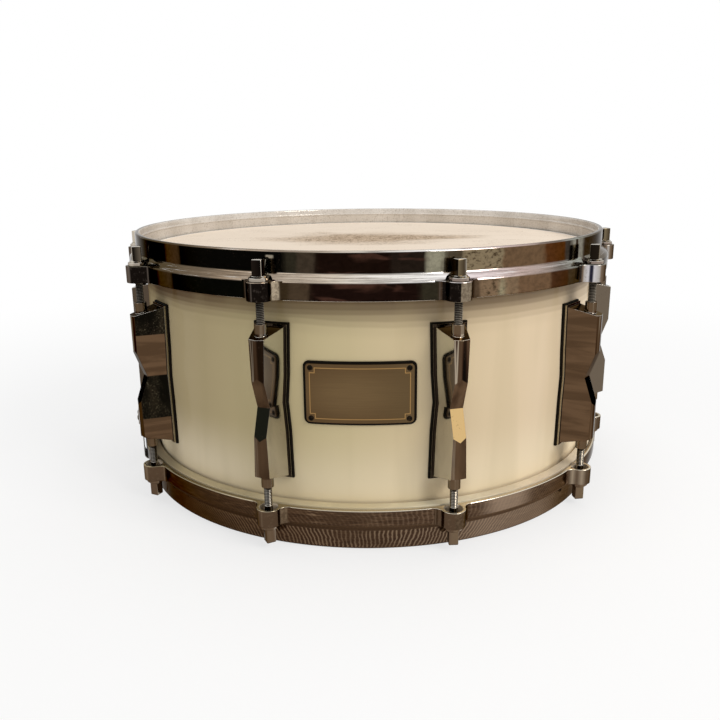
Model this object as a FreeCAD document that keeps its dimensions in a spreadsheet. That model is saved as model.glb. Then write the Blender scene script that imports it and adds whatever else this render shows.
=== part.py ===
"""Acoustic snare drum, 14 inches across and 6.5 inches deep, with ten lugs and die-cast hoops.

Millimetres. +Z is up, and the origin is on the drum's axis in the plane of the lower rim, which is
what the drum stands on. The front, with the name plate, faces -Y. Each round piece is drawn in the
drum's own middle plane with its first rod on +X, and then raised and turned into place.
"""

import FreeCAD
import Part
import Sketcher
import math
import os

from FreeCAD import Placement, Rotation, Vector

DRIVING_SIZES = [
    ("rod_count", 10, "tension rods, lugs and ears around each hoop"),
    ("first_rod_angle", -72, "polar angle of the first rod, degrees from +X"),
    ("strainer_angle", 18, "polar angle of the snare strainer; the butt end is opposite"),
    ("plate_angle", -90, "polar angle of the name plate"),
    ("vent_angle", 90, "polar angle of the air vent"),
    ("shell_radius", 177.8, "outside of the shell"),
    ("shell_depth", 165.1, "between the two bearing edges"),
    ("shell_wall", 7.0, "thickness of the ply"),
    ("edge_crown", 1.2, "flat crown of the bearing edge"),
    ("snare_bed_depth", 1.6, "dip in the lower bearing edge for the snare wires"),
    ("snare_bed_width", 72, "length of that dip along the edge"),
    ("film_thickness", 0.4, "drum head film"),
    ("collar_reach", 0.1, "film's clearance outside the shell"),
    ("flesh_hoop_inset", 1.8, "from the shell's outside to the flesh hoop"),
    ("flesh_hoop_width", 6.6, "radial width of the flesh hoop"),
    ("flesh_hoop_height", 9.4, "height of the flesh hoop"),
    ("flesh_hoop_drop", 6.1, "from the bearing edge to the top of the flesh hoop"),
    ("rim_gap", 3.2, "from the shell's outside to the inside of the hoop's upper wall"),
    ("rim_wall", 3.6, "thickness of the hoop's upper wall"),
    ("rim_rise", 14.45, "from the bearing edge to the rim"),
    ("skirt_gap", 0.7, "between the flesh hoop and the inside of the skirt"),
    ("skirt_wall", 2.8, "thickness of the skirt"),
    ("skirt_drop", 14.85, "from the bearing edge to the skirt's edge"),
    ("shoulder_drop", 3.1, "from the bearing edge to the foot of the shoulder"),
    ("shoulder_rise", 0.6, "from the bearing edge to the head of the shoulder"),
    ("rod_reach", 3.3, "from the skirt's outside to the circle of rods"),
    ("ear_radius", 8, "round end of a hoop's ear"),
    ("ear_fillet", 6.5, "where the ear flares into the skirt"),
    ("ear_wall", 2, "wall around the ear's hollow"),
    ("ear_pad_drop", 3.1, "from the bearing edge to the ear's flat pad"),
    ("ear_pad_thickness", 3, "solid pad under the rod's flange"),
    ("spot_face_margin", 0.3, "step cut into the shoulder, outside the ear's round end"),
    ("gate_width", 44, "snare gate in the lower hoop, along the rim"),
    ("gate_top", 0.35, "from the bearing edge to the gate"),
    ("gate_height", 9.1, "height of the snare gate"),
    ("rod_radius", 2.7, "tension rod"),
    ("rod_clearance", 0.3, "between a rod and the hole through the ear"),
    ("thread_clearance", 0.06, "between a rod and its sleeve, all round"),
    ("rod_tip_height", 26, "rod's tip above the middle plane"),
    ("flange_radius", 5.0, "round flange under the square head"),
    ("flange_thickness", 3.4, "round flange under the square head"),
    ("key_square", 6.35, "square head across its flats"),
    ("key_height", 9.7, "square head above its flange"),
    ("sleeve_radius", 4.0, "swivel nut's sleeve, in the lug's end"),
    ("sleeve_reach", 53.4, "sleeve's open end above the middle plane"),
    ("bore_floor", 24, "bottom of the sleeve's bore"),
    ("gasket_thickness", 1.4, "rubber under a lug, at its middle line"),
    ("gasket_margin", 0.9, "how far the rubber shows round the lug's flange"),
    ("lug_flange_top", 3.0, "height of the lug's flange above the shell"),
    ("lug_flange_margin", 1.4, "how far the flange stands out round the lug's flanks"),
    ("lug_foot_half_length", 49.5, "lug's flanks where they meet the flange"),
    ("lug_draft", 13.5, "slope of the lug's flanks and ends, degrees"),
    ("lug_bend_height", 19, "where the flanks turn in towards the waist"),
    ("foot_half_width", 9.9, "flanks at the flange, at the lug's ends"),
    ("bend_taper", 0.9, "how much narrower than its end each flank is at the bend"),
    ("waist_taper", 1.5, "how much narrower than its bend each flank is at the waist"),
    ("nose_cover", 6.8, "from the rods' axes out to the nose's corners"),
    ("ridge_rise", 1.3, "middle ridge above the nose's corners, at the lug's ends"),
    ("ridge_slope", 0.24, "slope of the nose from its ridge to its corners"),
    ("notch_depth", 6, "waist notch below the nose"),
    ("notch_half_height", 16.7, "half of the waist notch at the nose"),
    ("vent_radius", 5, "bore of the air vent"),
    ("vent_tube_wall", 1, "tube of the air vent"),
    ("vent_flange_radius", 8.5, "outer flange of the air vent"),
    ("vent_flange_thickness", 1.2, "outer flange of the air vent"),
    ("vent_clearance", 0.05, "between the vent's tube and its hole, all round"),
    ("plate_height_offset", 7.3, "name plate's centre above the middle plane"),
    ("plate_gasket_length", 71.6, "rubber round the name plate"),
    ("plate_gasket_height", 41.8, "rubber round the name plate"),
    ("plate_gasket_thickness", 1.1, "rubber under the name plate"),
    ("plate_gasket_corner", 4, "corner radius of that rubber"),
    ("plate_margin", 1.6, "how far the rubber shows round the plate"),
    ("plate_thickness", 1.0, "name plate"),
    ("mount_gasket_thickness", 1.2, "rubber under the strainer and the butt plate"),
    ("mount_plate_thickness", 2.8, "base plate of the strainer and the butt"),
    ("mount_gasket_margin", 0.6, "how far that rubber shows"),
    ("strainer_half_width", 17, "strainer's base plate"),
    ("strainer_top", 54.7, "top of the strainer's base plate, above the lower hoop's skirt"),
    ("strainer_bottom", 7.7, "bottom of the strainer's base plate, above the lower hoop's skirt"),
    ("cheek_inner", 11.2, "half the channel between the cheeks"),
    ("cheek_wall", 2.0, "thickness of a cheek"),
    ("cheek_depth", 17, "cheek's front edge above the shell"),
    ("cheek_top", 49.7, "top of the cheeks, above the lower hoop's skirt"),
    ("cheek_bottom", 10.7, "bottom of the cheeks, above the lower hoop's skirt"),
    ("slide_clearance", 0.3, "round the carriage"),
    ("carriage_top", 47.7, "top of the carriage, above the lower hoop's skirt"),
    ("carriage_bottom", 13.7, "bottom of the carriage, above the lower hoop's skirt"),
    ("carriage_travel", 4, "drop of the carriage when the lever is thrown"),
    ("strap_gap", 1.4, "from the skirt's outside to the strap clamped beside it"),
    ("pivot_depth", 9, "lever's pivot above the shell"),
    ("pivot_height", 33.7, "lever's pivot, above the lower hoop's skirt"),
    ("pivot_radius", 2.0, "lever's pivot pin"),
    ("pivot_clearance", 0.06, "between the pin and the lever, all round"),
    ("lever_wall", 2.0, "thickness of the lever's arms"),
    ("lever_eye_radius", 4.5, "round end of the lever's arms"),
    ("lever_plate_inner", 19.3, "inside of the lever's front plate"),
    ("lever_plate_thickness", 3.0, "lever's front plate"),
    ("lever_plate_bottom", 59.7, "bottom of the lever's front plate, above the lower hoop's skirt"),
    ("lever_tab_top", 86.7, "top of the lever's finger tab, above the lower hoop's skirt"),
    ("lever_tab_flare", 2.2, "how far the finger tab leans out"),
    ("knob_depth", 10, "fine-tuning knob's axis above the shell"),
    ("knob_radius", 7.5, "fine-tuning knob"),
    ("knob_bottom", 60.2, "underside of the knob, above the lower hoop's skirt"),
    ("knob_height", 10, "fine-tuning knob"),
    ("knob_neck_radius", 3.2, "knob's neck"),
    ("knob_stem_radius", 2.0, "knob's stem in the carriage"),
    ("knob_stem_length", 5.7, "knob's stem in the carriage"),
    ("knob_flutes", 8, "flutes round the knob"),
    ("flute_radius", 1.3, "flutes round the knob"),
    ("clamp_height", 18.7, "middle of the strap clamps, above the lower hoop's skirt"),
    ("clamp_half_height", 4.5, "strap clamp"),
    ("clamp_half_width", 10.5, "strap clamp"),
    ("clamp_thickness", 2.2, "strap clamp"),
    ("butt_half_width", 15, "butt's base plate"),
    ("butt_block_half_width", 12, "butt's block"),
    ("butt_top", 29.7, "top of the butt's base plate, above the lower hoop's skirt"),
    ("butt_bottom", 6.7, "bottom of the butt's base plate, above the lower hoop's skirt"),
    ("butt_block_inset", 2, "block in from the base plate's ends"),
    ("strap_half_width", 10, "snare strap"),
    ("strap_thickness", 0.4, "snare strap"),
    ("strap_bend", 4.5, "outer radius of the strap's bend at the gate"),
    ("strap_drop", 1.55, "strap's lower face below the lower bearing edge"),
    ("strap_inset", 19.3, "from the shell's outside in to a strap's inner end"),
    ("wire_count", 20, "snare wires"),
    ("wire_radius", 0.8, "outside of a coiled wire"),
    ("wire_spacing", 1.95, "between the wires"),
    ("wire_gap", 0.25, "between the lower head and the wires"),
    ("wire_inset", 23.8, "from the shell's outside in to the ends of the snare wires"),
    ("wire_bar_length", 3, "end plate's thick bar, which the wires are soldered to"),
    ("wire_plate_length", 9, "end plate's thin flange under the strap"),
    ("wire_plate_thickness", 0.8, "end plate's flange"),
    ("wire_plate_half_width", 20, "end plate"),
    ("strap_seat", 0.3, "between a strap and the end plate under it"),
]


class Size:
    """A length or angle that keeps its formula, so that arithmetic on sizes stays bound to the sheet."""

    def __init__(self, number, formula):
        self.number = float(number)
        self.formula = formula

    @staticmethod
    def of(other):
        return other if isinstance(other, Size) else Size(other, repr(float(other)))

    def __float__(self):
        return self.number

    def __add__(self, other):
        other = Size.of(other)
        return Size(self.number + other.number, f"({self.formula} + {other.formula})")

    def __sub__(self, other):
        other = Size.of(other)
        return Size(self.number - other.number, f"({self.formula} - {other.formula})")

    def __mul__(self, other):
        other = Size.of(other)
        return Size(self.number * other.number, f"({self.formula} * {other.formula})")

    def __truediv__(self, other):
        other = Size.of(other)
        return Size(self.number / other.number, f"({self.formula} / {other.formula})")

    def __radd__(self, other):
        return Size.of(other) + self

    def __rsub__(self, other):
        return Size.of(other) - self

    def __rmul__(self, other):
        return Size.of(other) * self

    def __neg__(self):
        return Size(-self.number, f"(0 - {self.formula})")


class Sizes:
    """The driving sizes, written into the document's spreadsheet and read back by name."""

    def __init__(self, doc):
        self.sheet = doc.addObject("Spreadsheet::Sheet", "sizes")
        for row, (name, number, note) in enumerate(DRIVING_SIZES, start=1):
            self.sheet.set(f"A{row}", name)
            self.sheet.set(f"B{row}", str(number))
            self.sheet.setAlias(f"B{row}", name)
            self.sheet.set(f"C{row}", note)
        doc.recompute()

    def __getattr__(self, name):
        return Size(getattr(self.sheet, name), f"sizes.{name}")


doc = FreeCAD.newDocument("snare_drum")
size = Sizes(doc)

EDGE = size.shell_depth / 2
MIDDLE = EDGE + size.rim_rise
OUTSIDE = size.shell_radius
INSIDE = size.shell_radius - size.shell_wall
RIM = OUTSIDE + size.rim_gap + size.rim_wall
SKIRT = OUTSIDE + size.flesh_hoop_inset + size.flesh_hoop_width + size.skirt_gap + size.skirt_wall
ROD_CIRCLE = SKIRT + size.rod_reach
CLAMP_FACE = SKIRT + size.strap_gap
ROD_COUNT = int(float(size.rod_count))
PARTS = []


# --- drawing helpers -------------------------------------------------------------------------------


def bind(target, prop, amount):
    """Set a property now and tie it to the sheet."""
    amount = Size.of(amount)
    target.setExpression(prop, amount.formula)


def new_body(name):
    return doc.addObject("PartDesign::Body", name)


def origin_part(body, role):
    return next(item for item in body.Origin.OriginFeatures if item.Role == role)


def sketch_on(body, role, name, height=None):
    """A sketch on one of the body's own planes, raised along that plane's normal."""
    sketch = body.newObject("Sketcher::SketchObject", name)
    sketch.AttachmentSupport = [(origin_part(body, role), "")]
    sketch.MapMode = "FlatFace"
    if height is not None:
        bind(sketch, "AttachmentOffset.Base.z", height)
    return sketch


def arc_between(start, end, radius):
    """A minor arc, turning left for a positive radius and right for a negative one."""
    if radius < 0:
        arc, last, first = arc_between(end, start, -radius)
        return arc, first, last
    chord = end - start
    middle = (start + end) * 0.5
    rise = math.sqrt(max(radius**2 - (chord.Length / 2) ** 2, 0.0))
    left = Vector(-chord.y, chord.x, 0).normalize()
    centre = middle + left * rise
    circle = Part.Circle(centre, Vector(0, 0, 1), radius)
    turn_start = math.atan2(start.y - centre.y, start.x - centre.x)
    turn_end = math.atan2(end.y - centre.y, end.x - centre.x)
    return Part.ArcOfCircle(circle, turn_start, turn_end), 1, 2


def constrain(sketch, kind, amount, *where):
    number = sketch.addConstraint(Sketcher.Constraint(kind, *where, float(amount)))
    if isinstance(amount, Size):
        sketch.setExpression(f"Constraints[{number}]", amount.formula)


def draw_loop(sketch, corners, arcs=None):
    """A closed outline. arcs gives the signed radius of the arc that leaves a corner."""
    arcs = arcs or {}
    edges = []
    for here, corner in enumerate(corners):
        start = Vector(float(corner[0]), float(corner[1]), 0)
        after = corners[(here + 1) % len(corners)]
        end = Vector(float(after[0]), float(after[1]), 0)
        if here in arcs:
            edge, first, last = arc_between(start, end, float(arcs[here]))
        else:
            edge, first, last = Part.LineSegment(start, end), 1, 2
        edges.append((sketch.addGeometry(edge, False), first, last))
    for here, (edge, first, last) in enumerate(edges):
        next_edge, next_first, _ = edges[(here + 1) % len(edges)]
        sketch.addConstraint(Sketcher.Constraint("Coincident", edge, last, next_edge, next_first))
        for kind, axis, amount in zip(("DistanceX", "DistanceY"), (-2, -1), corners[here]):
            if isinstance(amount, Size) or amount:
                constrain(sketch, kind, amount, -1, 1, edge, first)
            else:
                sketch.addConstraint(Sketcher.Constraint("PointOnObject", edge, first, axis))
        if here in arcs:
            radius = arcs[here]
            constrain(sketch, "Radius", -radius if float(radius) < 0 else radius, edge)


def rectangle(left, right, low, high):
    return [(left, low), (right, low), (right, high), (left, high)]


def revolve(body, corners, name, arcs=None):
    """A full turn about the body's own Z axis of an outline of radius against height."""
    section = sketch_on(body, "XZ_Plane", name + "_section")
    draw_loop(section, corners, arcs)
    turned = body.newObject("PartDesign::Revolution", name)
    turned.Profile = section
    turned.ReferenceAxis = (origin_part(body, "Z_Axis"), [""])
    turned.Angle = 360
    return turned


def pad(body, sketch, name, length, midplane=False):
    raised = body.newObject("PartDesign::Pad", name)
    raised.Profile = sketch
    raised.SideType = "Symmetric" if midplane else "One side"
    bind(raised, "Length", length)
    return raised


def cut_across(body, corners, name, width, arcs=None):
    """Remove an outline in the XZ plane, to half the width on either side of it."""
    sketch = sketch_on(body, "XZ_Plane", name + "_outline")
    draw_loop(sketch, corners, arcs)
    pocket = body.newObject("PartDesign::Pocket", name)
    pocket.Profile = sketch
    pocket.SideType = "Symmetric"
    bind(pocket, "Length", width)
    return pocket


def pad_across(body, corners, name, width, arcs=None):
    """Raise an outline in the XZ plane, to half the width on either side of it."""
    sketch = sketch_on(body, "XZ_Plane", name + "_outline")
    draw_loop(sketch, corners, arcs)
    return pad(body, sketch, name, width, midplane=True)


def radial_hole(body, name, radius, start, length, height, across=0.0, turn=0.0, kind="Subtractive"):
    """A cylinder pointing outwards along +X, or along +X turned about the drum's axis."""
    hole = body.newObject(f"PartDesign::{kind}Cylinder", name)
    hole.AttachmentSupport = [(origin_part(body, "YZ_Plane"), "")]
    hole.MapMode = "FlatFace"
    turned = Placement(Vector(), Rotation(Vector(0, 1, 0), float(turn)))
    reach = Placement(Vector(float(across), float(height), float(start)), Rotation())
    hole.AttachmentOffset = turned.multiply(reach)
    if not float(turn):
        bind(hole, "AttachmentOffset.Base.x", across)
        bind(hole, "AttachmentOffset.Base.y", height)
        bind(hole, "AttachmentOffset.Base.z", start)
    bind(hole, "Radius", radius)
    bind(hole, "Height", length)
    return hole


def upright_hole(body, name, radius, out, low, length, kind="Subtractive"):
    """A cylinder along Z, at a distance out along +X."""
    hole = body.newObject(f"PartDesign::{kind}Cylinder", name)
    hole.AttachmentSupport = [(origin_part(body, "XY_Plane"), "")]
    hole.MapMode = "FlatFace"
    bind(hole, "AttachmentOffset.Base.x", out)
    bind(hole, "AttachmentOffset.Base.z", low)
    bind(hole, "Radius", radius)
    bind(hole, "Height", length)
    return hole


def cross_hole(body, name, radius, out, height, width, kind="Subtractive"):
    """A cylinder along Y through the XZ plane, centred on it."""
    hole = body.newObject(f"PartDesign::{kind}Cylinder", name)
    hole.AttachmentSupport = [(origin_part(body, "XZ_Plane"), "")]
    hole.MapMode = "FlatFace"
    bind(hole, "AttachmentOffset.Base.x", out)
    bind(hole, "AttachmentOffset.Base.y", height)
    bind(hole, "AttachmentOffset.Base.z", -width / 2)
    bind(hole, "Radius", radius)
    bind(hole, "Height", width)
    return hole


def pattern(body, originals, name, count):
    """Repeat features evenly around the drum's axis."""
    ring = body.newObject("PartDesign::PolarPattern", name)
    ring.Originals = originals
    ring.Axis = (origin_part(body, "Z_Axis"), [""])
    ring.Angle = 360
    bind(ring, "Occurrences", count)
    body.Tip = ring
    return ring


# --- placing helpers -------------------------------------------------------------------------------


def standing(angle, out=0.0, upside_down=False):
    """Raised to the drum's middle, turned so that local +X points at the angle, and moved out."""
    turned = Rotation(Vector(0, 0, 1), float(angle))
    if upside_down:
        turned = turned.multiply(Rotation(Vector(1, 0, 0), 180))
    base = turned.multVec(Vector(float(out), 0, 0)) + Vector(0, 0, float(MIDDLE))
    return Placement(base, turned)


def keep(piece, label, place):
    """Give a sub-part its name and place, and list it for writing out."""
    piece.Label = label
    piece.Placement = place
    bind(piece, "Placement.Base.z", MIDDLE)
    PARTS.append(piece)


def keep_copy(master, label, place):
    """Another of the same piece, at its own place."""
    copy = doc.addObject("Part::Feature", label)
    shape = master.Shape.copy()
    shape.Placement = Placement()
    copy.Shape = shape
    keep(copy, label, place)


def keep_set(master, label, places):
    """Identical fasteners as one sub-part, a separate solid at each place."""
    drawn = master.Shape.copy()
    drawn.Placement = Placement()
    copies = []
    for place in places:
        copy = drawn.copy()
        copy.Placement = Placement(Vector(0, 0, -float(MIDDLE)), Rotation()).multiply(place)
        copies.append(copy)
    group = doc.addObject("Part::Feature", label)
    group.Shape = Part.makeCompound(copies)
    keep(group, label, Placement(Vector(0, 0, float(MIDDLE)), Rotation()))


def above_skirt(height):
    """A height above the edge of the lower hoop's skirt."""
    return size.skirt_drop - EDGE + height


def rod_angles():
    step = 360.0 / ROD_COUNT
    return [float(size.first_rod_angle) + step * number for number in range(ROD_COUNT)]


def in_ring(angle):
    """An angle on the drum, as an angle from a ring piece's first rod."""
    return angle - size.first_rod_angle


# --- shell and heads -------------------------------------------------------------------------------


def make_shell():
    body = new_body("shell")
    upper = [
        (OUTSIDE, EDGE),
        (OUTSIDE - size.edge_crown, EDGE),
        (INSIDE, EDGE - size.shell_wall + size.edge_crown),
    ]
    lower = [(radius, -height) for radius, height in reversed(upper)]
    revolve(body, upper + lower, "wall")

    bed_radius = size.snare_bed_width * size.snare_bed_width / (size.snare_bed_depth * 8)
    bed = body.newObject("PartDesign::SubtractiveCylinder", "snare_beds")
    bed.AttachmentSupport = [(origin_part(body, "XZ_Plane"), "")]
    bed.MapMode = "FlatFace"
    bind(bed, "AttachmentOffset.Base.y", size.snare_bed_depth - EDGE - bed_radius)
    bind(bed, "AttachmentOffset.Base.z", -OUTSIDE - 1)
    bind(bed, "Radius", bed_radius)
    bind(bed, "Height", OUTSIDE * 2 + 2)

    tube_radius = size.vent_radius + size.vent_tube_wall + size.vent_clearance
    turn = in_ring(size.vent_angle)
    radial_hole(body, "vent_hole", tube_radius, INSIDE - 1, size.shell_wall + 2, 0.0, turn=turn)
    return body


def make_head(name):
    """The film: flat across the bearing edge, then down its collar to the flesh hoop."""
    body = new_body(name)
    crest = OUTSIDE + size.collar_reach
    seat = OUTSIDE + size.flesh_hoop_inset
    corners = [
        (0.0, EDGE),
        (crest, EDGE),
        (seat + 0.1, EDGE - size.flesh_hoop_drop),
        (seat + 0.1 + size.film_thickness, EDGE - size.flesh_hoop_drop),
        (crest + size.film_thickness, EDGE + size.film_thickness),
        (0.0, EDGE + size.film_thickness),
    ]
    revolve(body, corners, "film")
    return body


def make_flesh_hoop(name):
    body = new_body(name)
    inner = OUTSIDE + size.flesh_hoop_inset
    outer = inner + size.flesh_hoop_width
    high = EDGE - size.flesh_hoop_drop
    revolve(body, rectangle(inner, outer, high - size.flesh_hoop_height, high), "ring")
    return body


# --- die-cast hoops --------------------------------------------------------------------------------


def make_hoop(name, gates):
    """One hoop, rim upwards: wall, shoulder and skirt in one turn, with hollow ears around it."""
    body = new_body(name)
    rim_inner = RIM - size.rim_wall
    rim = EDGE + size.rim_rise
    ledge = EDGE - size.flesh_hoop_drop
    skirt_edge = EDGE - size.skirt_drop
    corners = [
        (SKIRT - size.skirt_wall, skirt_edge),
        (SKIRT, skirt_edge),
        (SKIRT, EDGE - size.shoulder_drop),
        (RIM, EDGE + size.shoulder_rise),
        (RIM, rim),
        (rim_inner, rim),
        (rim_inner, ledge),
        (SKIRT - size.skirt_wall, ledge),
    ]
    revolve(body, corners, "wall_and_skirt")

    pad_top = EDGE - size.ear_pad_drop
    hollow_top = pad_top - size.ear_pad_thickness
    ear_sketch = sketch_on(body, "XY_Plane", "ear_outline", skirt_edge)
    corners, arcs = ear_outline()
    draw_loop(ear_sketch, corners, arcs)
    ear = pad(body, ear_sketch, "ear", pad_top - skirt_edge)
    pattern(body, [ear], "ears", size.rod_count)

    hollow_sketch = sketch_on(body, "XY_Plane", "ear_hollow_outline", skirt_edge)
    corners, arcs = ear_hollow_outline()
    draw_loop(hollow_sketch, corners, arcs)
    hollow = body.newObject("PartDesign::Pocket", "ear_hollow")
    hollow.Profile = hollow_sketch
    hollow.Reversed = True
    bind(hollow, "Length", hollow_top - skirt_edge)
    pattern(body, [hollow], "ear_hollows", size.rod_count)

    hole_radius = size.rod_radius + size.rod_clearance
    hole = upright_hole(body, "rod_hole", hole_radius, ROD_CIRCLE, hollow_top - 1, pad_top - hollow_top + 2)
    pattern(body, [hole], "rod_holes", size.rod_count)
    seat_radius = size.ear_radius + size.spot_face_margin
    height = size.ear_pad_drop + size.shoulder_rise + 1
    spot_face = upright_hole(body, "spot_face", seat_radius, ROD_CIRCLE, pad_top, height)
    pattern(body, [spot_face], "spot_faces", size.rod_count)

    if gates:
        gate = body.newObject("PartDesign::SubtractiveBox", "snare_gates")
        gate.AttachmentSupport = [(origin_part(body, "XY_Plane"), "")]
        gate.MapMode = "FlatFace"
        bind(gate, "AttachmentOffset.Base.x", -size.gate_width / 2)
        bind(gate, "AttachmentOffset.Base.y", -SKIRT - 1)
        bind(gate, "AttachmentOffset.Base.z", EDGE + size.gate_top)
        bind(gate, "Length", size.gate_width)
        bind(gate, "Width", SKIRT * 2 + 2)
        bind(gate, "Height", size.gate_height)
    return body


def flare(ear_radius, skirt_radius):
    """Where an ear's fillet touches the skirt and the ear, both as (out, across)."""
    fillet = float(size.ear_fillet)
    circle = float(ROD_CIRCLE)
    to_ear = ear_radius + fillet
    to_axis = skirt_radius + fillet
    out = (to_axis**2 - to_ear**2 + circle**2) / (2 * circle)
    across = math.sqrt(to_axis**2 - out**2)
    on_skirt = (out * skirt_radius / to_axis, across * skirt_radius / to_axis)
    on_ear = (circle + (out - circle) * ear_radius / to_ear, across * ear_radius / to_ear)
    return on_skirt, on_ear


def ear_outline():
    """A round ear that flares into the skirt on both sides."""
    on_skirt, on_ear = flare(float(size.ear_radius), float(SKIRT))
    root = SKIRT - size.skirt_wall / 2
    tip = (ROD_CIRCLE + size.ear_radius, 0.0)
    corners = [
        (root, -on_skirt[1]),
        (on_skirt[0], -on_skirt[1]),
        (on_ear[0], -on_ear[1]),
        tip,
        on_ear,
        on_skirt,
        (root, on_skirt[1]),
    ]
    return corners, {1: -size.ear_fillet, 2: size.ear_radius, 3: size.ear_radius, 4: -size.ear_fillet}


def ear_hollow_outline():
    """The space inside an ear: a circle about the rod, closed by the skirt's outside."""
    inner = size.ear_radius - size.ear_wall
    circle = float(ROD_CIRCLE)
    skirt = float(SKIRT)
    out = (skirt**2 - float(inner) ** 2 + circle**2) / (2 * circle)
    across = math.sqrt(skirt**2 - out**2)
    corners = [(out, -across), (ROD_CIRCLE + inner, 0.0), (out, across)]
    return corners, {0: inner, 1: inner, 2: -SKIRT}


# --- lugs ------------------------------------------------------------------------------------------


def hourglass(half_width, half_length):
    """A lug's outline seen from the front, as (across, up): it narrows at its bends and its waist."""
    bend = half_width - size.bend_taper
    waist = bend - size.waist_taper
    up = size.lug_bend_height
    return [
        (half_width, -half_length), (bend, -up), (waist, 0.0), (bend, up), (half_width, half_length),
        (-half_width, half_length), (-bend, up), (-waist, 0.0), (-bend, -up), (-half_width, -half_length),
    ]


def pad_outwards(body, corners, name, start, length):
    """Raise an outline seen from the front, from one distance out."""
    sketch = sketch_on(body, "YZ_Plane", name + "_outline", start)
    draw_loop(sketch, corners)
    return pad(body, sketch, name, length)


def taper(body, block, angle):
    """Slope every side of a block inwards from its inner face."""
    doc.recompute()
    sides, foot = [], None
    for number, face in enumerate(block.Shape.Faces, start=1):
        facing = face.normalAt(0, 0).x
        if abs(facing) < 0.5:
            sides.append(f"Face{number}")
        elif facing < 0:
            foot = f"Face{number}"
    sloped = body.newObject("PartDesign::Draft", block.Name + "_draft")
    sloped.Base = (block, sides)
    sloped.NeutralPlane = (block, [foot])
    bind(sloped, "Angle", angle)
    doc.recompute()
    return sloped


def make_lug(name):
    """A faceted tube lug: ridged nose, notched waist, and a swivel nut's sleeve in each end."""
    body = new_body(name)
    base = OUTSIDE + size.gasket_thickness
    flange_top = OUTSIDE + size.lug_flange_top
    nose = ROD_CIRCLE + size.nose_cover
    ridge = nose + size.ridge_rise

    foot = hourglass(size.foot_half_width, size.lug_foot_half_length)
    flanks = pad_outwards(body, foot, "flanks", flange_top, ridge - flange_top)
    taper(body, flanks, size.lug_draft)
    margin = size.lug_flange_margin
    flange = hourglass(size.foot_half_width + margin, size.lug_foot_half_length + margin)
    pad_outwards(body, flange, "flange", base, flange_top - base)

    width = size.foot_half_width * 2
    eaves = ridge - size.ridge_slope * width
    above_roof = [(ridge, 0.0), (eaves, width), (ridge + 1, width), (ridge + 1, -width), (eaves, -width)]
    roof = sketch_on(body, "XY_Plane", "roof_outline")
    draw_loop(roof, above_roof)
    facets = body.newObject("PartDesign::Pocket", "roof")
    facets.Profile = roof
    facets.SideType = "Symmetric"
    bind(facets, "Length", size.lug_foot_half_length * 2)

    notch_mouth = nose + size.notch_depth
    notch = [
        (nose - size.notch_depth, 0.0),
        (notch_mouth, -size.notch_half_height * 2),
        (notch_mouth, size.notch_half_height * 2),
    ]
    cut_across(body, notch, "waist_notch", width * 2)

    out = ROD_CIRCLE
    bore = size.rod_radius + size.thread_clearance
    for side, sign in (("upper", 1), ("lower", -1)):
        start = size.lug_foot_half_length - 10
        low = start if sign > 0 else -size.sleeve_reach
        length = size.sleeve_reach - start
        upright_hole(body, side + "_sleeve", size.sleeve_radius, out, low, length, kind="Additive")
        low = size.bore_floor if sign > 0 else -size.sleeve_reach - 1
        length = size.sleeve_reach + 1 - size.bore_floor
        upright_hole(body, side + "_bore", bore, out, low, length)
    return body


def make_gasket(name):
    """The rubber under a lug: flat on top and hollowed to the shell beneath."""
    body = new_body(name)
    low = OUTSIDE - size.gasket_thickness
    margin = size.lug_flange_margin + size.gasket_margin
    half_length = size.lug_foot_half_length + margin
    outline = hourglass(size.foot_half_width + margin, half_length)
    pad_outwards(body, outline, "pad", low, size.gasket_thickness * 2)
    upright_hole(body, "seat", OUTSIDE, 0.0, -half_length - 1, half_length * 2 + 2)
    return body


# --- tension rods ----------------------------------------------------------------------------------


def make_rod(name):
    """A tension rod on its own axis: shank, round flange and square key head, head upwards."""
    body = new_body(name)
    seat = EDGE - size.ear_pad_drop
    flange_top = seat + size.flange_thickness
    corners = [
        (0.0, size.rod_tip_height),
        (size.rod_radius, size.rod_tip_height),
        (size.rod_radius, seat),
        (size.flange_radius, seat),
        (size.flange_radius, flange_top),
        (0.0, flange_top),
    ]
    revolve(body, corners, "shank_and_flange")
    half = size.key_square / 2
    square = sketch_on(body, "XY_Plane", "key_outline", flange_top)
    draw_loop(square, rectangle(-half, half, -half, half))
    pad(body, square, "key", size.key_height)
    return body


# --- name plate and vent ---------------------------------------------------------------------------


def rounded(half_width, half_height, corner):
    """A rounded rectangle about the origin, with the arcs that draw_loop needs."""
    x, y, r = half_width, half_height, corner
    corners = [
        (r - x, -y), (x - r, -y), (x, r - y), (x, y - r),
        (x - r, y), (r - x, y), (-x, y - r), (-x, r - y),
    ]
    return corners, {1: r, 3: r, 5: r, 7: r}


def curved_panel(name, length, height, corner, inner, thickness):
    """A rounded panel bent to the shell: its outline seen from the front, between two cylinders."""
    outline = doc.addObject("Sketcher::SketchObject", name + "_outline")
    outline.Placement = Placement(Vector(0, 0, 0), Rotation(90, 0, 90))
    bind(outline, "Placement.Base.z", size.plate_height_offset)
    draw_loop(outline, *rounded(length / 2, height / 2, corner))
    block = doc.addObject("Part::Extrusion", name + "_block")
    block.Base = outline
    block.DirMode = "Custom"
    block.Dir = Vector(1, 0, 0)
    block.Solid = True
    bind(block, "LengthFwd", inner + thickness * 2)

    tube = []
    for side, radius in (("outer", inner + thickness), ("inner", inner)):
        wall = doc.addObject("Part::Cylinder", f"{name}_{side}")
        bind(wall, "Radius", radius)
        bind(wall, "Height", size.shell_depth)
        bind(wall, "Placement.Base.z", -EDGE)
        tube.append(wall)
    wall = doc.addObject("Part::Cut", name + "_tube")
    wall.Base, wall.Tool = tube
    panel = doc.addObject("Part::Common", name)
    panel.Base, panel.Tool = wall, block
    return panel


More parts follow.
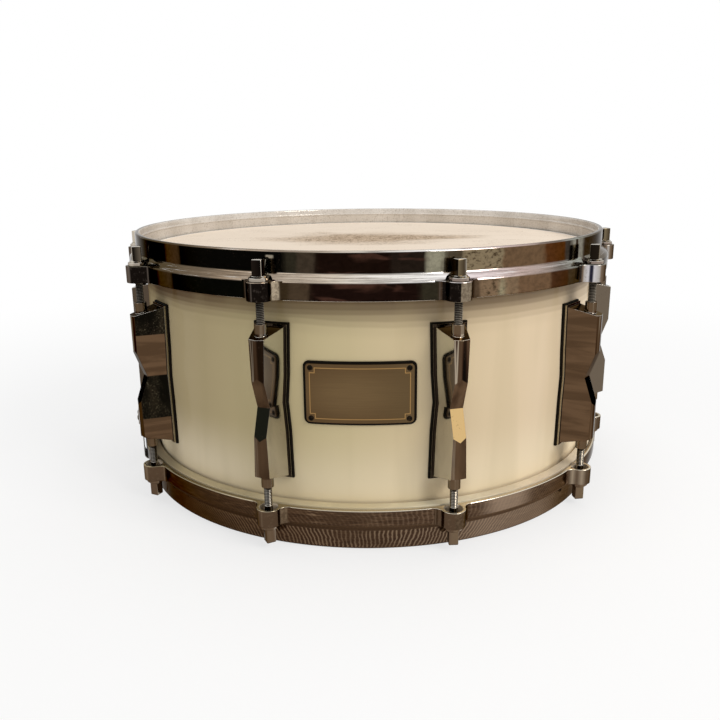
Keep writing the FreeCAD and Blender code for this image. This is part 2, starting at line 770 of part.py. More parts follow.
def make_vent(name):
    """An eyelet through the wall: a flange on the shell's outside, and a tube with a bore."""
    body = new_body(name)
    thick = size.vent_flange_thickness
    tube = size.vent_radius + size.vent_tube_wall
    outer_top = OUTSIDE + thick
    radial_hole(body, "flange", size.vent_flange_radius, OUTSIDE - thick, thick * 2, 0.0, kind="Additive")
    cut_height = size.vent_flange_radius + 1
    upright_hole(body, "seat", OUTSIDE, 0.0, -cut_height, cut_height * 2)
    inner_end = INSIDE - size.vent_tube_wall
    radial_hole(body, "tube", tube, inner_end, outer_top - inner_end, 0.0, kind="Additive")
    radial_hole(body, "bore", size.vent_radius, inner_end - 1, outer_top - inner_end + 2, 0.0)
    return body


# --- snare strainer, butt and wires ----------------------------------------------------------------


def make_mount_gasket(name, half_width, top, bottom):
    """The rubber under the strainer or the butt plate, hollowed to the shell."""
    body = new_body(name)
    margin = size.mount_gasket_margin
    front = OUTSIDE + size.mount_gasket_thickness
    low = above_skirt(bottom) - margin
    high = above_skirt(top) + margin
    pad_across(body, rectangle(OUTSIDE - 2, front, low, high), "pad", (half_width + margin) * 2)
    upright_hole(body, "seat", OUTSIDE, 0.0, low - 1, high - low + 2)
    return body


def make_strainer_base(name):
    """The base plate with two cheeks, which guide the carriage and carry the lever's pin."""
    body = new_body(name)
    back = OUTSIDE + size.mount_gasket_thickness
    front = back + size.mount_plate_thickness
    plate = rectangle(back, front, above_skirt(size.strainer_bottom), above_skirt(size.strainer_top))
    pad_across(body, plate, "plate", size.strainer_half_width * 2)
    cheek_front = OUTSIDE + size.cheek_depth
    bevel = size.cheek_depth / 3
    cheeks = [
        (back, above_skirt(size.cheek_bottom)),
        (cheek_front - bevel, above_skirt(size.cheek_bottom)),
        (cheek_front, above_skirt(size.cheek_bottom) + bevel),
        (cheek_front, above_skirt(size.cheek_top) - bevel),
        (cheek_front - bevel, above_skirt(size.cheek_top)),
        (back, above_skirt(size.cheek_top)),
    ]
    pad_across(body, cheeks, "cheeks", (size.cheek_inner + size.cheek_wall) * 2)
    channel_low = above_skirt(size.cheek_bottom) - 1
    channel_high = above_skirt(size.cheek_top) + 1
    channel = rectangle(front, cheek_front + 1, channel_low, channel_high)
    cut_across(body, channel, "channel", size.cheek_inner * 2)
    out = OUTSIDE + size.pivot_depth
    height = above_skirt(size.pivot_height)
    cross_hole(body, "pin_hole", size.pivot_radius, out, height, size.cheek_inner * 3)
    return body


def make_pivot_pin(name):
    body = new_body(name)
    width = (size.cheek_inner + size.cheek_wall + size.slide_clearance + size.lever_wall) * 2
    out = OUTSIDE + size.pivot_depth
    cross_hole(body, "pin", size.pivot_radius, out, above_skirt(size.pivot_height), width, kind="Additive")
    return body


def make_lever(name):
    """The throw-off lever: two arms on the pin, joined by a front plate with a finger tab."""
    body = new_body(name)
    eye = size.lever_eye_radius
    pivot = OUTSIDE + size.pivot_depth
    inner = OUTSIDE + size.lever_plate_inner
    outer = inner + size.lever_plate_thickness
    knee = above_skirt(size.lever_plate_bottom) + 2
    tip = above_skirt(size.lever_tab_top)
    neck = tip - size.lever_plate_thickness * 5
    corners = [
        (pivot - eye, above_skirt(size.pivot_height)),
        (pivot, above_skirt(size.pivot_height) - eye),
        (pivot + eye, above_skirt(size.pivot_height)),
        (outer, above_skirt(size.lever_plate_bottom)),
        (outer, neck),
        (outer + size.lever_tab_flare, tip),
        (inner + size.lever_tab_flare, tip),
        (inner, neck),
        (inner - size.lever_plate_thickness, knee),
        (pivot - eye, above_skirt(size.pivot_height) + eye * 1.5),
    ]
    arms_inner = size.cheek_inner + size.cheek_wall + size.slide_clearance
    pad_across(body, corners, "arms", (arms_inner + size.lever_wall) * 2, {0: eye, 1: eye})
    low = above_skirt(size.pivot_height) - eye - 1
    space = [
        (OUTSIDE, low),
        (outer + 5, low),
        (outer + 5, above_skirt(size.lever_plate_bottom)),
        (inner, above_skirt(size.lever_plate_bottom)),
        (inner, tip + 1),
        (OUTSIDE, tip + 1),
    ]
    cut_across(body, space, "space_between", arms_inner * 2)
    radius = size.pivot_radius + size.pivot_clearance
    cross_hole(body, "pin_hole", radius, pivot, above_skirt(size.pivot_height), arms_inner * 3)
    return body


def make_carriage(name):
    """The block that slides between the cheeks, slotted round the pin, with the clamp's face."""
    body = new_body(name)
    gap = size.slide_clearance
    back = OUTSIDE + size.mount_gasket_thickness + size.mount_plate_thickness + gap
    front = CLAMP_FACE
    block = rectangle(back, front, above_skirt(size.carriage_bottom), above_skirt(size.carriage_top))
    pad_across(body, block, "block", (size.cheek_inner - gap) * 2)
    slot = size.pivot_radius + gap
    pivot = OUTSIDE + size.pivot_depth
    low = above_skirt(size.pivot_height)
    high = above_skirt(size.pivot_height) + size.carriage_travel
    corners = [(pivot + slot, low), (pivot + slot, high), (pivot, high + slot), (pivot - slot, high),
               (pivot - slot, low), (pivot, low - slot)]
    arcs = {1: slot, 2: slot, 4: slot, 5: slot}
    cut_across(body, corners, "pin_slot", size.cheek_inner * 2, arcs)
    stem = size.knob_stem_radius + size.pivot_clearance
    length = size.knob_stem_length + gap
    bottom = above_skirt(size.carriage_top) - length
    upright_hole(body, "stem_hole", stem, OUTSIDE + size.knob_depth, bottom, length + 1)
    return body


def make_knob(name):
    """The fine-tuning knob on its own axis: fluted head, neck and stem."""
    body = new_body(name)
    stem_bottom = above_skirt(size.carriage_top) - size.knob_stem_length
    neck_bottom = above_skirt(size.carriage_top) + size.slide_clearance
    bottom = above_skirt(size.knob_bottom)
    height = size.knob_height
    corners = [
        (0.0, stem_bottom),
        (size.knob_stem_radius, stem_bottom),
        (size.knob_stem_radius, neck_bottom),
        (size.knob_neck_radius, neck_bottom),
        (size.knob_neck_radius, bottom),
        (size.knob_radius, bottom),
        (size.knob_radius, bottom + height),
        (0.0, bottom + height),
    ]
    revolve(body, corners, "turned")
    radius = size.flute_radius
    flute = upright_hole(body, "flute", radius, size.knob_radius, bottom - 1, height + 2)
    pattern(body, [flute], "flutes", size.knob_flutes)
    return body


def make_clamp(name):
    body = new_body(name)
    back = CLAMP_FACE + size.strap_thickness
    low = above_skirt(size.clamp_height) - size.clamp_half_height
    high = above_skirt(size.clamp_height) + size.clamp_half_height
    corners = rectangle(back, back + size.clamp_thickness, low, high)
    pad_across(body, corners, "plate", size.clamp_half_width * 2)
    return body


def make_butt(name):
    """The butt end: a base plate with a block, whose front face the strap is clamped to."""
    body = new_body(name)
    back = OUTSIDE + size.mount_gasket_thickness
    front = back + size.mount_plate_thickness
    face = CLAMP_FACE
    plate = rectangle(back, front, above_skirt(size.butt_bottom), above_skirt(size.butt_top))
    pad_across(body, plate, "plate", size.butt_half_width * 2)
    inset = size.butt_block_inset
    bevel = size.butt_block_inset * 2
    block = [
        (back, above_skirt(size.butt_bottom) + inset),
        (face, above_skirt(size.butt_bottom) + inset),
        (face, above_skirt(size.butt_top) - inset - bevel),
        (face - bevel, above_skirt(size.butt_top) - inset),
        (back, above_skirt(size.butt_top) - inset),
    ]
    pad_across(body, block, "block", size.butt_block_half_width * 2)
    return body


def make_strap(name):
    """A snare strap: down from its clamp, round the hoop, and in through the gate under the head."""
    body = new_body(name)
    inner = CLAMP_FACE
    outer = inner + size.strap_thickness
    low = -EDGE - size.strap_drop
    bend = size.strap_bend
    inner_bend = bend - size.strap_thickness
    top = above_skirt(size.clamp_height) + size.clamp_half_height
    corners = [
        (outer, top),
        (inner, top),
        (inner, low + bend),
        (outer - bend, low + size.strap_thickness),
        (OUTSIDE - size.strap_inset, low + size.strap_thickness),
        (OUTSIDE - size.strap_inset, low),
        (outer - bend, low),
        (outer, low + bend),
    ]
    pad_across(body, corners, "band", size.strap_half_width * 2, {2: -inner_bend, 6: bend})
    return body


def make_snare_wires(name):
    """The set of wires across the lower head, soldered to an end plate at each side."""
    wires = []
    under_head = -EDGE - size.film_thickness
    centre = under_head - size.wire_gap - size.wire_radius
    bar_start = OUTSIDE - size.wire_inset
    half_length = bar_start + size.wire_bar_length / 2
    count = int(float(size.wire_count))
    for number in range(count):
        wire = doc.addObject("Part::Prism", f"{name}_{number + 1}")
        wire.Polygon = 6
        across = size.wire_spacing * (number - (count - 1) / 2)
        wire.Placement = Placement(Vector(0, 0, 0), Rotation(Vector(0, 1, 0), 90))
        bind(wire, "Circumradius", size.wire_radius)
        bind(wire, "Height", half_length * 2)
        bind(wire, "Placement.Base.x", -half_length)
        bind(wire, "Placement.Base.y", across)
        bind(wire, "Placement.Base.z", centre)
        wires.append(wire)

    strap_low = -EDGE - size.strap_drop
    flange_top = strap_low - size.strap_seat
    bar_top = centre + size.wire_radius * 0.75
    bar_end = bar_start + size.wire_bar_length
    flange_end = bar_end + size.wire_plate_length
    low = flange_top - size.wire_plate_thickness
    for side, sign in (("strainer", 1), ("butt", -1)):
        body = new_body(f"{name}_{side}_plate")
        corners = [
            (bar_start * sign, low),
            (flange_end * sign, low),
            (flange_end * sign, flange_top),
            (bar_end * sign, flange_top),
            (bar_end * sign, bar_top),
            (bar_start * sign, bar_top),
        ]
        pad_across(body, corners, "plate", size.wire_plate_half_width * 2)
        wires.append(body)
    soldered = doc.addObject("Part::MultiFuse", name)
    soldered.Shapes = wires
    return soldered


# --- the whole drum --------------------------------------------------------------------------------

ring_place = standing(size.first_rod_angle)
ring_place_below = standing(size.first_rod_angle, upside_down=True)
strainer_place = standing(size.strainer_angle)
butt_place = standing(size.strainer_angle + 180)
below_turned = Placement(Vector(0, 0, 0), Rotation(Vector(1, 0, 0), 180))

keep(make_shell(), "shell", ring_place)
keep(make_vent("vent"), "vent_grommet", standing(size.vent_angle))
keep(make_head("batter_film"), "batter_head", ring_place)
keep(make_flesh_hoop("batter_ring"), "batter_flesh_hoop", ring_place)
keep(make_head("snare_film"), "snare_head", ring_place_below)
keep(make_flesh_hoop("snare_ring"), "snare_flesh_hoop", ring_place_below)
keep(make_hoop("upper_casting", gates=False), "top_hoop", ring_place)
keep(make_hoop("lower_casting", gates=True), "bottom_hoop", ring_place_below)

lug = make_lug("lug_casting")
gasket = make_gasket("lug_rubber")
rod = make_rod("tension_rod")
doc.recompute()

angles = rod_angles()
for number, angle in enumerate(angles, start=1):
    place = standing(angle)
    if number == 1:
        keep(lug, "lug_1", place)
    else:
        keep_copy(lug, f"lug_{number}", place)

above = [standing(angle, ROD_CIRCLE) for angle in angles]
below = [standing(angle, ROD_CIRCLE, upside_down=True) for angle in angles]
for number in range(1, ROD_COUNT + 1):
    for label, places in (("top_rod", above), ("bottom_rod", below)):
        if number == 1 and label == "top_rod":
            keep(rod, "top_rod_1", places[0])
        else:
            keep_copy(rod, f"{label}_{number}", places[number - 1])

keep_set(gasket, "lug_gaskets", [standing(angle) for angle in angles])

plate_length = size.plate_gasket_length - size.plate_margin * 2
plate_height = size.plate_gasket_height - size.plate_margin * 2
plate_corner = size.plate_gasket_corner - size.plate_margin
plate_rubber = curved_panel(
    "plate_rubber", size.plate_gasket_length, size.plate_gasket_height, size.plate_gasket_corner,
    OUTSIDE, size.plate_gasket_thickness,
)
plate = curved_panel(
    "plate", plate_length, plate_height, plate_corner,
    OUTSIDE + size.plate_gasket_thickness, size.plate_thickness,
)
keep(plate_rubber, "name_plate_gasket", standing(size.plate_angle))
keep(plate, "name_plate", standing(size.plate_angle))

sunk = Placement(Vector(0, 0, -float(MIDDLE)), Rotation())
half_width = size.strainer_half_width
strainer_rubber = make_mount_gasket("strainer_rubber", half_width, size.strainer_top, size.strainer_bottom)
half_width = size.butt_half_width
butt_rubber = make_mount_gasket("butt_rubber", half_width, size.butt_top, size.butt_bottom)
rubbers = doc.addObject("Part::Compound", "mount_rubbers")
rubbers.Links = [strainer_rubber, butt_rubber]
strainer_rubber.Placement = strainer_place.multiply(sunk)
butt_rubber.Placement = butt_place.multiply(sunk)
keep(rubbers, "mounting_gaskets", Placement(Vector(0, 0, float(MIDDLE)), Rotation()))
keep(make_strainer_base("strainer_casting"), "strainer_base", strainer_place)
keep(make_pivot_pin("pin"), "strainer_pin", strainer_place)
keep(make_lever("lever"), "strainer_lever", strainer_place)
keep(make_carriage("carriage"), "strainer_carriage", strainer_place)
knob_place = standing(size.strainer_angle, OUTSIDE + size.knob_depth)
keep(make_knob("knob"), "tuning_knob", knob_place)
keep(make_butt("butt_block"), "butt_plate", butt_place)

clamp = make_clamp("clamp")
strap = make_strap("strap")
doc.recompute()
keep(clamp, "strainer_clamp", strainer_place)
keep_copy(clamp, "butt_clamp", butt_place)
keep(strap, "strainer_strap", strainer_place)
keep_copy(strap, "butt_strap", butt_place)
keep(make_snare_wires("wires"), "snare_wires", strainer_place)

doc.recompute()


# --- checks and files ------------------------------------------------------------------------------


def check():
    for item in doc.Objects:
        if "Invalid" in item.State or "Error" in item.State:
            raise RuntimeError(f"{item.Label} did not compute: {item.State}")
    labels = [piece.Label for piece in PARTS]
    if len(set(labels)) != len(labels):
        raise RuntimeError("two sub-parts share a name")
    for piece in PARTS:
        shape = piece.Shape
        if shape.isNull() or not shape.isValid() or not shape.Solids or shape.Volume <= 0:
            raise RuntimeError(f"{piece.Label} has no sound solid")


check()
os.makedirs("parts", exist_ok=True)
for piece in PARTS:
    piece.Shape.exportStep(os.path.join("parts", piece.Label + ".step"))
print(f"{len(PARTS)} sub-parts written")
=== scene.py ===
"""The looks of an acoustic snare drum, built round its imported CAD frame.

Lengths are in millimetres from the drum's middle plane until a piece is set down,
which scales it to metres and stands it in its place round the drum.
"""

import math

import bmesh
import bpy
from mathutils import Matrix, Vector


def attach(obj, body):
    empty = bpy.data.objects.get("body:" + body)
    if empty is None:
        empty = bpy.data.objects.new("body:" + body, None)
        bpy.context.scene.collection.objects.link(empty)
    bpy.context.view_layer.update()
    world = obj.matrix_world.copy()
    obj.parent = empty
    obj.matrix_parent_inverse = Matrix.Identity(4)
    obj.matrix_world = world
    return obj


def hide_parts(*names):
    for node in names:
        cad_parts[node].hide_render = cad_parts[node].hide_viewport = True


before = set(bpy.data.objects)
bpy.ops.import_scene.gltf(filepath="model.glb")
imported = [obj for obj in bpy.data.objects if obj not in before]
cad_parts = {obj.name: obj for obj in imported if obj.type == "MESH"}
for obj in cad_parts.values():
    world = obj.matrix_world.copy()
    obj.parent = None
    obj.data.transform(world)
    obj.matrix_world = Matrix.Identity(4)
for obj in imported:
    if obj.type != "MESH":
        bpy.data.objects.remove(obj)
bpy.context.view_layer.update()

# --- sizes, as the drum's own ---

MIDDLE = 97.0  # the middle plane, over the floor
EDGE = 82.55  # the bearing edges, over and under the middle plane
SHELL = 177.8  # radii
SHELL_INSIDE = 170.8
RIM = 184.6
SKIRT = 189.7
ROD_CIRCLE = 193.0
RIM_WALL = 3.6
SKIRT_WALL = 2.8
SHOULDER_FOOT = EDGE - 3.1
SKIRT_EDGE = EDGE - 14.85
RIM_TOP = EDGE + 14.45
GROOVE = 91.4  # inside the rim
GATE_WIDTH = 44
GATE_HEIGHT = 9.1
RODS = 10
ROD_STEP = 360 // RODS  # degrees
FIRST_ROD = -72
EAR = 8.0
EAR_WALL = 2.0
EAR_ROOF = 3.0
EAR_FILLET = 6.5
FLANGE = 3.4
HEAD_WIDTH = 6.35
HEAD_HEIGHT = 9.9
SHANK = 2.7
SHANK_END = 66.5
THREAD_PITCH = 1.06
THREAD_TURNS = 38
THREAD_START = 26.2
VENT = 6.1
PLATE_Z = 7.3
PLATE_OUT = 31.6  # its screws, from its middle
PLATE_UP = 16.6
STRAINER = 18  # degrees round the drum
BUTT = STRAINER + 180
PIVOT_OUT = 186.8
PIVOT_Z = -34.0
JAW_Z = -49.0
JAW_FACE = 193.7
WIRES = 20
WIRE_SPACING = 1.95
WIRE_Z = -EDGE - 1.45
COIL_RADIUS = 0.58
COIL_PITCH = 2.4
COIL_TURNS = 129
STRAND = 0.22
FLOOR_DROP = 0.0004  # metres, as is its radius
FLOOR_RADIUS = 14.0

DEGREES = 180 / math.pi
PLATED_TINT = (0.42, 0.40, 0.38, 1)


def moved(x, y, z):
    """A shift along each axis."""
    return Matrix.Translation((x, y, z))


def round_axis(degrees):
    """A turn round the drum's axis."""
    return Matrix.Rotation(math.radians(degrees), 4, "Z")


def standing(angle, below=False):
    """The place of a piece drawn along +X, stood at an angle round the drum, in metres."""
    flip = Matrix.Rotation(math.pi, 4, "X") if below else Matrix.Identity(4)
    lift = moved(0, 0, MIDDLE / 1000)
    return lift @ round_axis(angle) @ Matrix.Scale(0.001, 4) @ flip


def on_wall(angle, height, radius, across=0.0, flat=False):
    """A place on the shell's outside, or on a flat fitting there, with the piece's +Z outwards."""
    bend = 0 if flat else math.atan2(across, radius)
    turn = Matrix.Rotation(math.radians(angle) + bend, 4, "Z")
    return (
        moved(0, 0, (MIDDLE + height) / 1000) @ turn @ Matrix.Scale(0.001, 4)
        @ moved(radius, across if flat else 0, 0) @ Matrix.Rotation(math.pi / 2, 4, "Y")
    )


# --- shader nodes ---


def either_way(operation):
    """An operator that adds a Math node, and the same operator reflected."""
    return (
        lambda signal, other: signal.look.math(operation, signal, other),
        lambda signal, other: signal.look.math(operation, other, signal),
    )


class Signal:
    """A socket of a look. Arithmetic on it adds the Math nodes it needs."""

    __add__, __radd__ = either_way("ADD")
    __sub__, __rsub__ = either_way("SUBTRACT")
    __mul__, __rmul__ = either_way("MULTIPLY")
    __truediv__, __rtruediv__ = either_way("DIVIDE")

    def __init__(self, look, socket):
        self.look = look
        self.socket = socket

    def __abs__(self):
        return self.look.math("ABSOLUTE", self)

    def rise(self, low, high):
        """0 below low, 1 above high and smooth between them."""
        settings = {"interpolation_type": "SMOOTHSTEP"}
        sockets = {"Value": self, "From Min": low, "From Max": high}
        return self.look.add("ShaderNodeMapRange", settings, sockets)

    def within(self, low, high, soft=0.5):
        """1 between low and high, 0 beyond them, blending over soft."""
        return self.rise(low - soft, low + soft) * self.rise(high + soft, high - soft)


class Look:
    """One material, or the world, and its nodes."""

    def __init__(self, name, kept_in=bpy.data.materials):
        self.owner = kept_in.new(name)
        self.owner.use_nodes = True
        self.tree = self.owner.node_tree
        self.tree.nodes.clear()
        self.place = self.add("ShaderNodeTexCoord", output="Object")

    def add(self, kind, settings=None, sockets=None, output=0):
        """A node of that type: its settings first, then its sockets' values or links.

        It gives the output of that name or number, or one for each name in a tuple.
        """
        node = self.tree.nodes.new(kind)
        for name, value in (settings or {}).items():
            if name == "stops":
                ramp = node.color_ramp
                while len(ramp.elements) < len(value):
                    ramp.elements.new(0.5)
                for element, (position, shade) in zip(ramp.elements, value):
                    element.position = position
                    element.color = colour(shade)
            else:
                setattr(node, name, value)
        for name, value in (sockets or {}).items():
            if isinstance(value, Signal):
                self.tree.links.new(value.socket, node.inputs[name])
            else:
                node.inputs[name].default_value = value
        if isinstance(output, tuple):
            return [Signal(self, node.outputs[name]) for name in output]
        return Signal(self, node.outputs[output]) if node.outputs else None

    def math(self, operation, *values):
        return self.add("ShaderNodeMath", {"operation": operation}, dict(enumerate(values)))

    def vector(self, operation, *values, output=0):
        return self.add("ShaderNodeVectorMath", {"operation": operation}, dict(enumerate(values)), output)

    def distance(self, across, along):
        """The straight way between two points that far apart across and along."""
        return self.math("SQRT", across * across + along * along)

    def mix(self, factor, first, second):
        """A colour between two others."""
        sockets = {0: factor, 6: colour(first), 7: colour(second)}
        return self.add("ShaderNodeMix", {"data_type": "RGBA"}, sockets, output=2)

    def layered(self, shade, *coats):
        """A colour with coats of (how much, colour) laid over it, one after another."""
        for amount, coat in coats:
            shade = self.mix(amount, shade, coat)
        return shade

    def ramp(self, value, *rows):
        """A colour for each value, from rows of a value and its colour's three numbers."""
        stops = [(position, shade) for position, *shade in rows]
        return self.add("ShaderNodeValToRGB", {"stops": stops}, {"Fac": value}, "Color")

    def noise(self, scale, detail, rough, vector=None, distort=0.0):
        sockets = {"Vector": vector or self.place, "Scale": scale, "Detail": detail}
        return self.add("ShaderNodeTexNoise", None, {**sockets, "Roughness": rough, "Distortion": distort})

    def drawn(self, scales, detail, rough, distort=0.0, scale=1.0):
        """Noise drawn out by a scale of its own along each axis."""
        stretched = self.add("ShaderNodeMapping", None, {"Vector": self.place, "Scale": scales})
        return self.noise(scale, detail, rough, stretched, distort)

    def axes(self):
        """X, Y and Z of the piece's own coordinates, in millimetres from the middle plane."""
        x, y, z = self.add("ShaderNodeSeparateXYZ", None, {0: self.place}, ("X", "Y", "Z"))
        return x * 1000, y * 1000, z * 1000 - MIDDLE

    def round_drum(self):
        """The angle round the drum in radians, its radius there, and the way to the nearest rod."""
        x, y, _ = self.axes()
        angle = self.math("ARCTAN2", y, x)
        stations = angle * (RODS / math.tau)
        across = (stations - self.math("ROUND", stations)) * (math.tau / RODS * ROD_CIRCLE)
        return angle, self.distance(x, y), across

    def facing(self, way):
        """How far the surface faces right, back, up, or out from the drum's axis, from -1 to 1."""
        normal = self.add("ShaderNodeNewGeometry", output="Normal")
        along = {"right": (1, 0, 0), "back": (0, 1, 0), "up": (0, 0, 1)}.get(way)
        if not along:
            along = self.vector("NORMALIZE", self.vector("MULTIPLY", self.place, (1, 1, 0)))
        return self.vector("DOT_PRODUCT", normal, along, output="Value")

    def bump(self, height, depth, strength):
        """A normal from a height between 0 and 1, depth metres high."""
        sockets = {"Height": height, "Distance": depth, "Strength": strength}
        return self.add("ShaderNodeBump", None, sockets)

    def surface(self, sockets):
        """Closes the look with its shader, and returns the material."""
        shader = self.add("ShaderNodeBsdfPrincipled", None, sockets)
        self.add("ShaderNodeOutputMaterial", None, {"Surface": shader})
        return self.owner


def shown(level):
    """The strength, 0 to 1, of a level from 0 to 255 on a screen."""
    return ((level / 255 + 0.055) / 1.055) ** 2.4 if level > 10 else level / 3295


def colour(value):
    """A socket as it is, or a colour's four numbers from its strengths or its levels on a screen."""
    if isinstance(value, Signal):
        return value
    return (*(map(shown, value) if max(value) > 1 else value), 1)


def banded(*rows, soft=0.35):
    """A ramp's rows for bands round the drum's front half, each blending into the next.

    A band is its starting angle in degrees and its colour.
    """
    stops = []
    for (_, *shade), (end, *following) in zip(rows, rows[1:]):
        stops.append(((end - soft + 180) / 180, *shade))
        stops.append(((end + soft + 180) / 180, *following))
    return stops


# --- finishes ---


def silvered(look):
    """The fine pits and the smudges that every plated piece has."""
    specks = look.noise(900, 2, 0.6).rise(0.62, 0.70)
    cloud = look.noise(55, 3, 0.5).rise(0.48, 0.68)
    return specks * cloud, look.noise(120, 4, 0.6)


def close_plating(look, shade, pitting, rough, metal=1.0):
    """Plating of that colour, with its pits dark and rough."""
    pits, smudge = silvered(look)
    pitted = pits * pitting
    return look.surface({
        "Base Color": look.mix(pitted, shade, (0.05, 0.033, 0.022)),
        "Metallic": metal,
        "Roughness": smudge * 0.1 + pitted * 0.4 + (rough - 0.04),
        "Specular Tint": PLATED_TINT,
        "Specular IOR Level": 0.0,
        "Normal": look.bump(smudge, 0.00002, 0.3),
    })


def fitting_plating():
    """The small fittings: satin, with painted shade where they face left or down and painted light where
    they face right and up.
    """
    look = Look("fitting_plating")
    cloud = look.drawn((40, 40, 24), 2, 0.5, 0.2)
    # Painted light and shade: paler where the faces turn right and up, darker where they turn left and
    # down.
    level = look.facing("right") * 0.28 + look.facing("up") * 0.3 + cloud * 0.5 + 0.22
    shade = look.ramp(
        level,
        (0.15, 26, 21, 17), (0.36, 74, 64, 54), (0.46, 120, 108, 95),
        (0.52, 92, 80, 68), (0.62, 176, 166, 150), (0.85, 214, 206, 192),
    )
    return close_plating(look, shade, 0.4, 0.13)


def rod_plating():
    """The tension rods: painted reflections, dark to the left and pale to the right, with painted shade
    between their threads.
    """
    look = Look("rod_plating")
    x, _, z = look.axes()
    _, radius, across = look.round_drum()
    from_rod = look.distance(radius - ROD_CIRCLE, across)
    up, right = look.facing("up"), look.facing("right")
    shank = z.within(-67, 67)
    # The thread's grooves, darkened as painted shade.
    painted_thread_shade = shank * from_rod.rise(2.6, 2.35)
    above = z.rise(76, 77)
    washer = z.within(79.7, 81.9, 0.3) * from_rod.rise(5.2, 5.8)
    level = right * 0.5 + look.drawn((90, 90, 30), 2, 0.5) * 0.12 + 0.44
    # The heads at the far left and in front: painted reflections that turn with their faces.
    left_heads_painted_reflection = look.ramp(
        right * 0.5 + 0.5,
        (0.10, 196, 188, 174), (0.38, 186, 176, 160), (0.50, 60, 52, 44),
        (0.62, 22, 18, 14), (0.80, 120, 108, 92), (0.95, 60, 52, 44),
    )
    front_head_painted_reflection = look.ramp(
        right * 0.5 + 0.5,
        (0.30, 34, 27, 22), (0.46, 16, 12, 9), (0.60, 24, 18, 14),
        (0.70, 196, 186, 172), (0.86, 150, 138, 122), (0.97, 40, 34, 28),
    )
    # Painted reflections by facing: dark to the left, pale to the right.
    side = look.ramp(
        level,
        (0.05, 46, 37, 28), (0.28, 20, 15, 11), (0.44, 34, 27, 20), (0.52, 104, 92, 74),
        (0.66, 112, 99, 76), (0.76, 66, 54, 40), (0.88, 212, 202, 186), (0.98, 132, 118, 98),
    )
    # The washers and the shank's thread, paler to the right as painted light.
    flange = look.mix(x.rise(-20, 20), (176, 164, 150), (150, 134, 124))
    thread = look.mix(x.rise(-60, 60), (80, 69, 55), (150, 137, 117))
    # Painted shade on the left rods and undersides, a painted reflection on faces turned to the shell,
    # painted highlights on top.
    shade = look.layered(
        side,
        (x.rise(-20, -60) * level.rise(0.74, 0.66) * 0.8, (14, 10, 8)),
        (look.facing("out").rise(-0.1, -0.6), (206, 196, 180)),
        (above * x.rise(-100, -130), left_heads_painted_reflection),
        (above * x.within(-90, -30, 10) * z.rise(82.6, 83), front_head_painted_reflection),
        (washer * 0.75, flange),
        (z.rise(-76, -77) * 0.6, (120, 97, 76)),
        (shank * 0.55, thread),
        (up.rise(0.55, 0.8), (225, 220, 210)),
        (up.rise(-0.15, -0.5) * 0.8, (30, 24, 18)),
        (painted_thread_shade * 0.9, (18, 14, 10)),
    )
    metal = 1.0 - shank * z.rise(0, 20) * 0.7
    return close_plating(look, shade, 0.4, 0.12, metal)


def ear_plating(look, wall, band, edge, ends):
    """The ears' walls over the hoop's: dark, with a pale upright band and glints of painted reflection,
    and dull in their hollows.
    """
    x, _, _ = look.axes()
    _, radius, across = look.round_drum()
    right = look.facing("right")
    ear = radius.rise(SKIRT + 0.1, SKIRT + 0.7)
    hollow = look.distance(radius - ROD_CIRCLE, across).rise(6.5, 6.1)
    # A pale upright band on each ear and thin glint lines beside it, painted reflections.
    start, end = 3.45 - x * 0.0873, 14.5 - x * 0.066
    pale = (across - start).rise(-0.3, 0.3) * (across - end).rise(0.3, -0.3)
    line = across.within(-1.6, -0.8, 0.4) + across.within(-11.4, -10.9, 0.3)
    flank = across.rise(-9.5, -10.3) + (across - end).rise(-0.3, 0.3)
    grit = look.noise(420, 3, 0.7)
    plain, painted_side_reflection, painted_glint = edge
    gritty = look.layered(
        band,
        (x.rise(20, 50) * 0.45, painted_side_reflection),
        (grit.rise(0.62, 0.42) * 0.5, painted_side_reflection),
    )
    # Painted reflections: the band and glints, and the far ears' colours turning with their faces.
    shade = look.layered(
        plain,
        (flank, painted_side_reflection),
        (line * 0.6, painted_glint),
        (pale, gritty),
        (x.rise(100, 120), look.ramp(right * 0.5 + 0.5, *ends)),
        (x.rise(-100, -120) * right.rise(-0.3, -0.5), painted_glint),
        (grit.rise(0.55, 0.7) * 0.35, painted_glint),
    )
    return look.mix(ear, wall, shade), ear, hollow


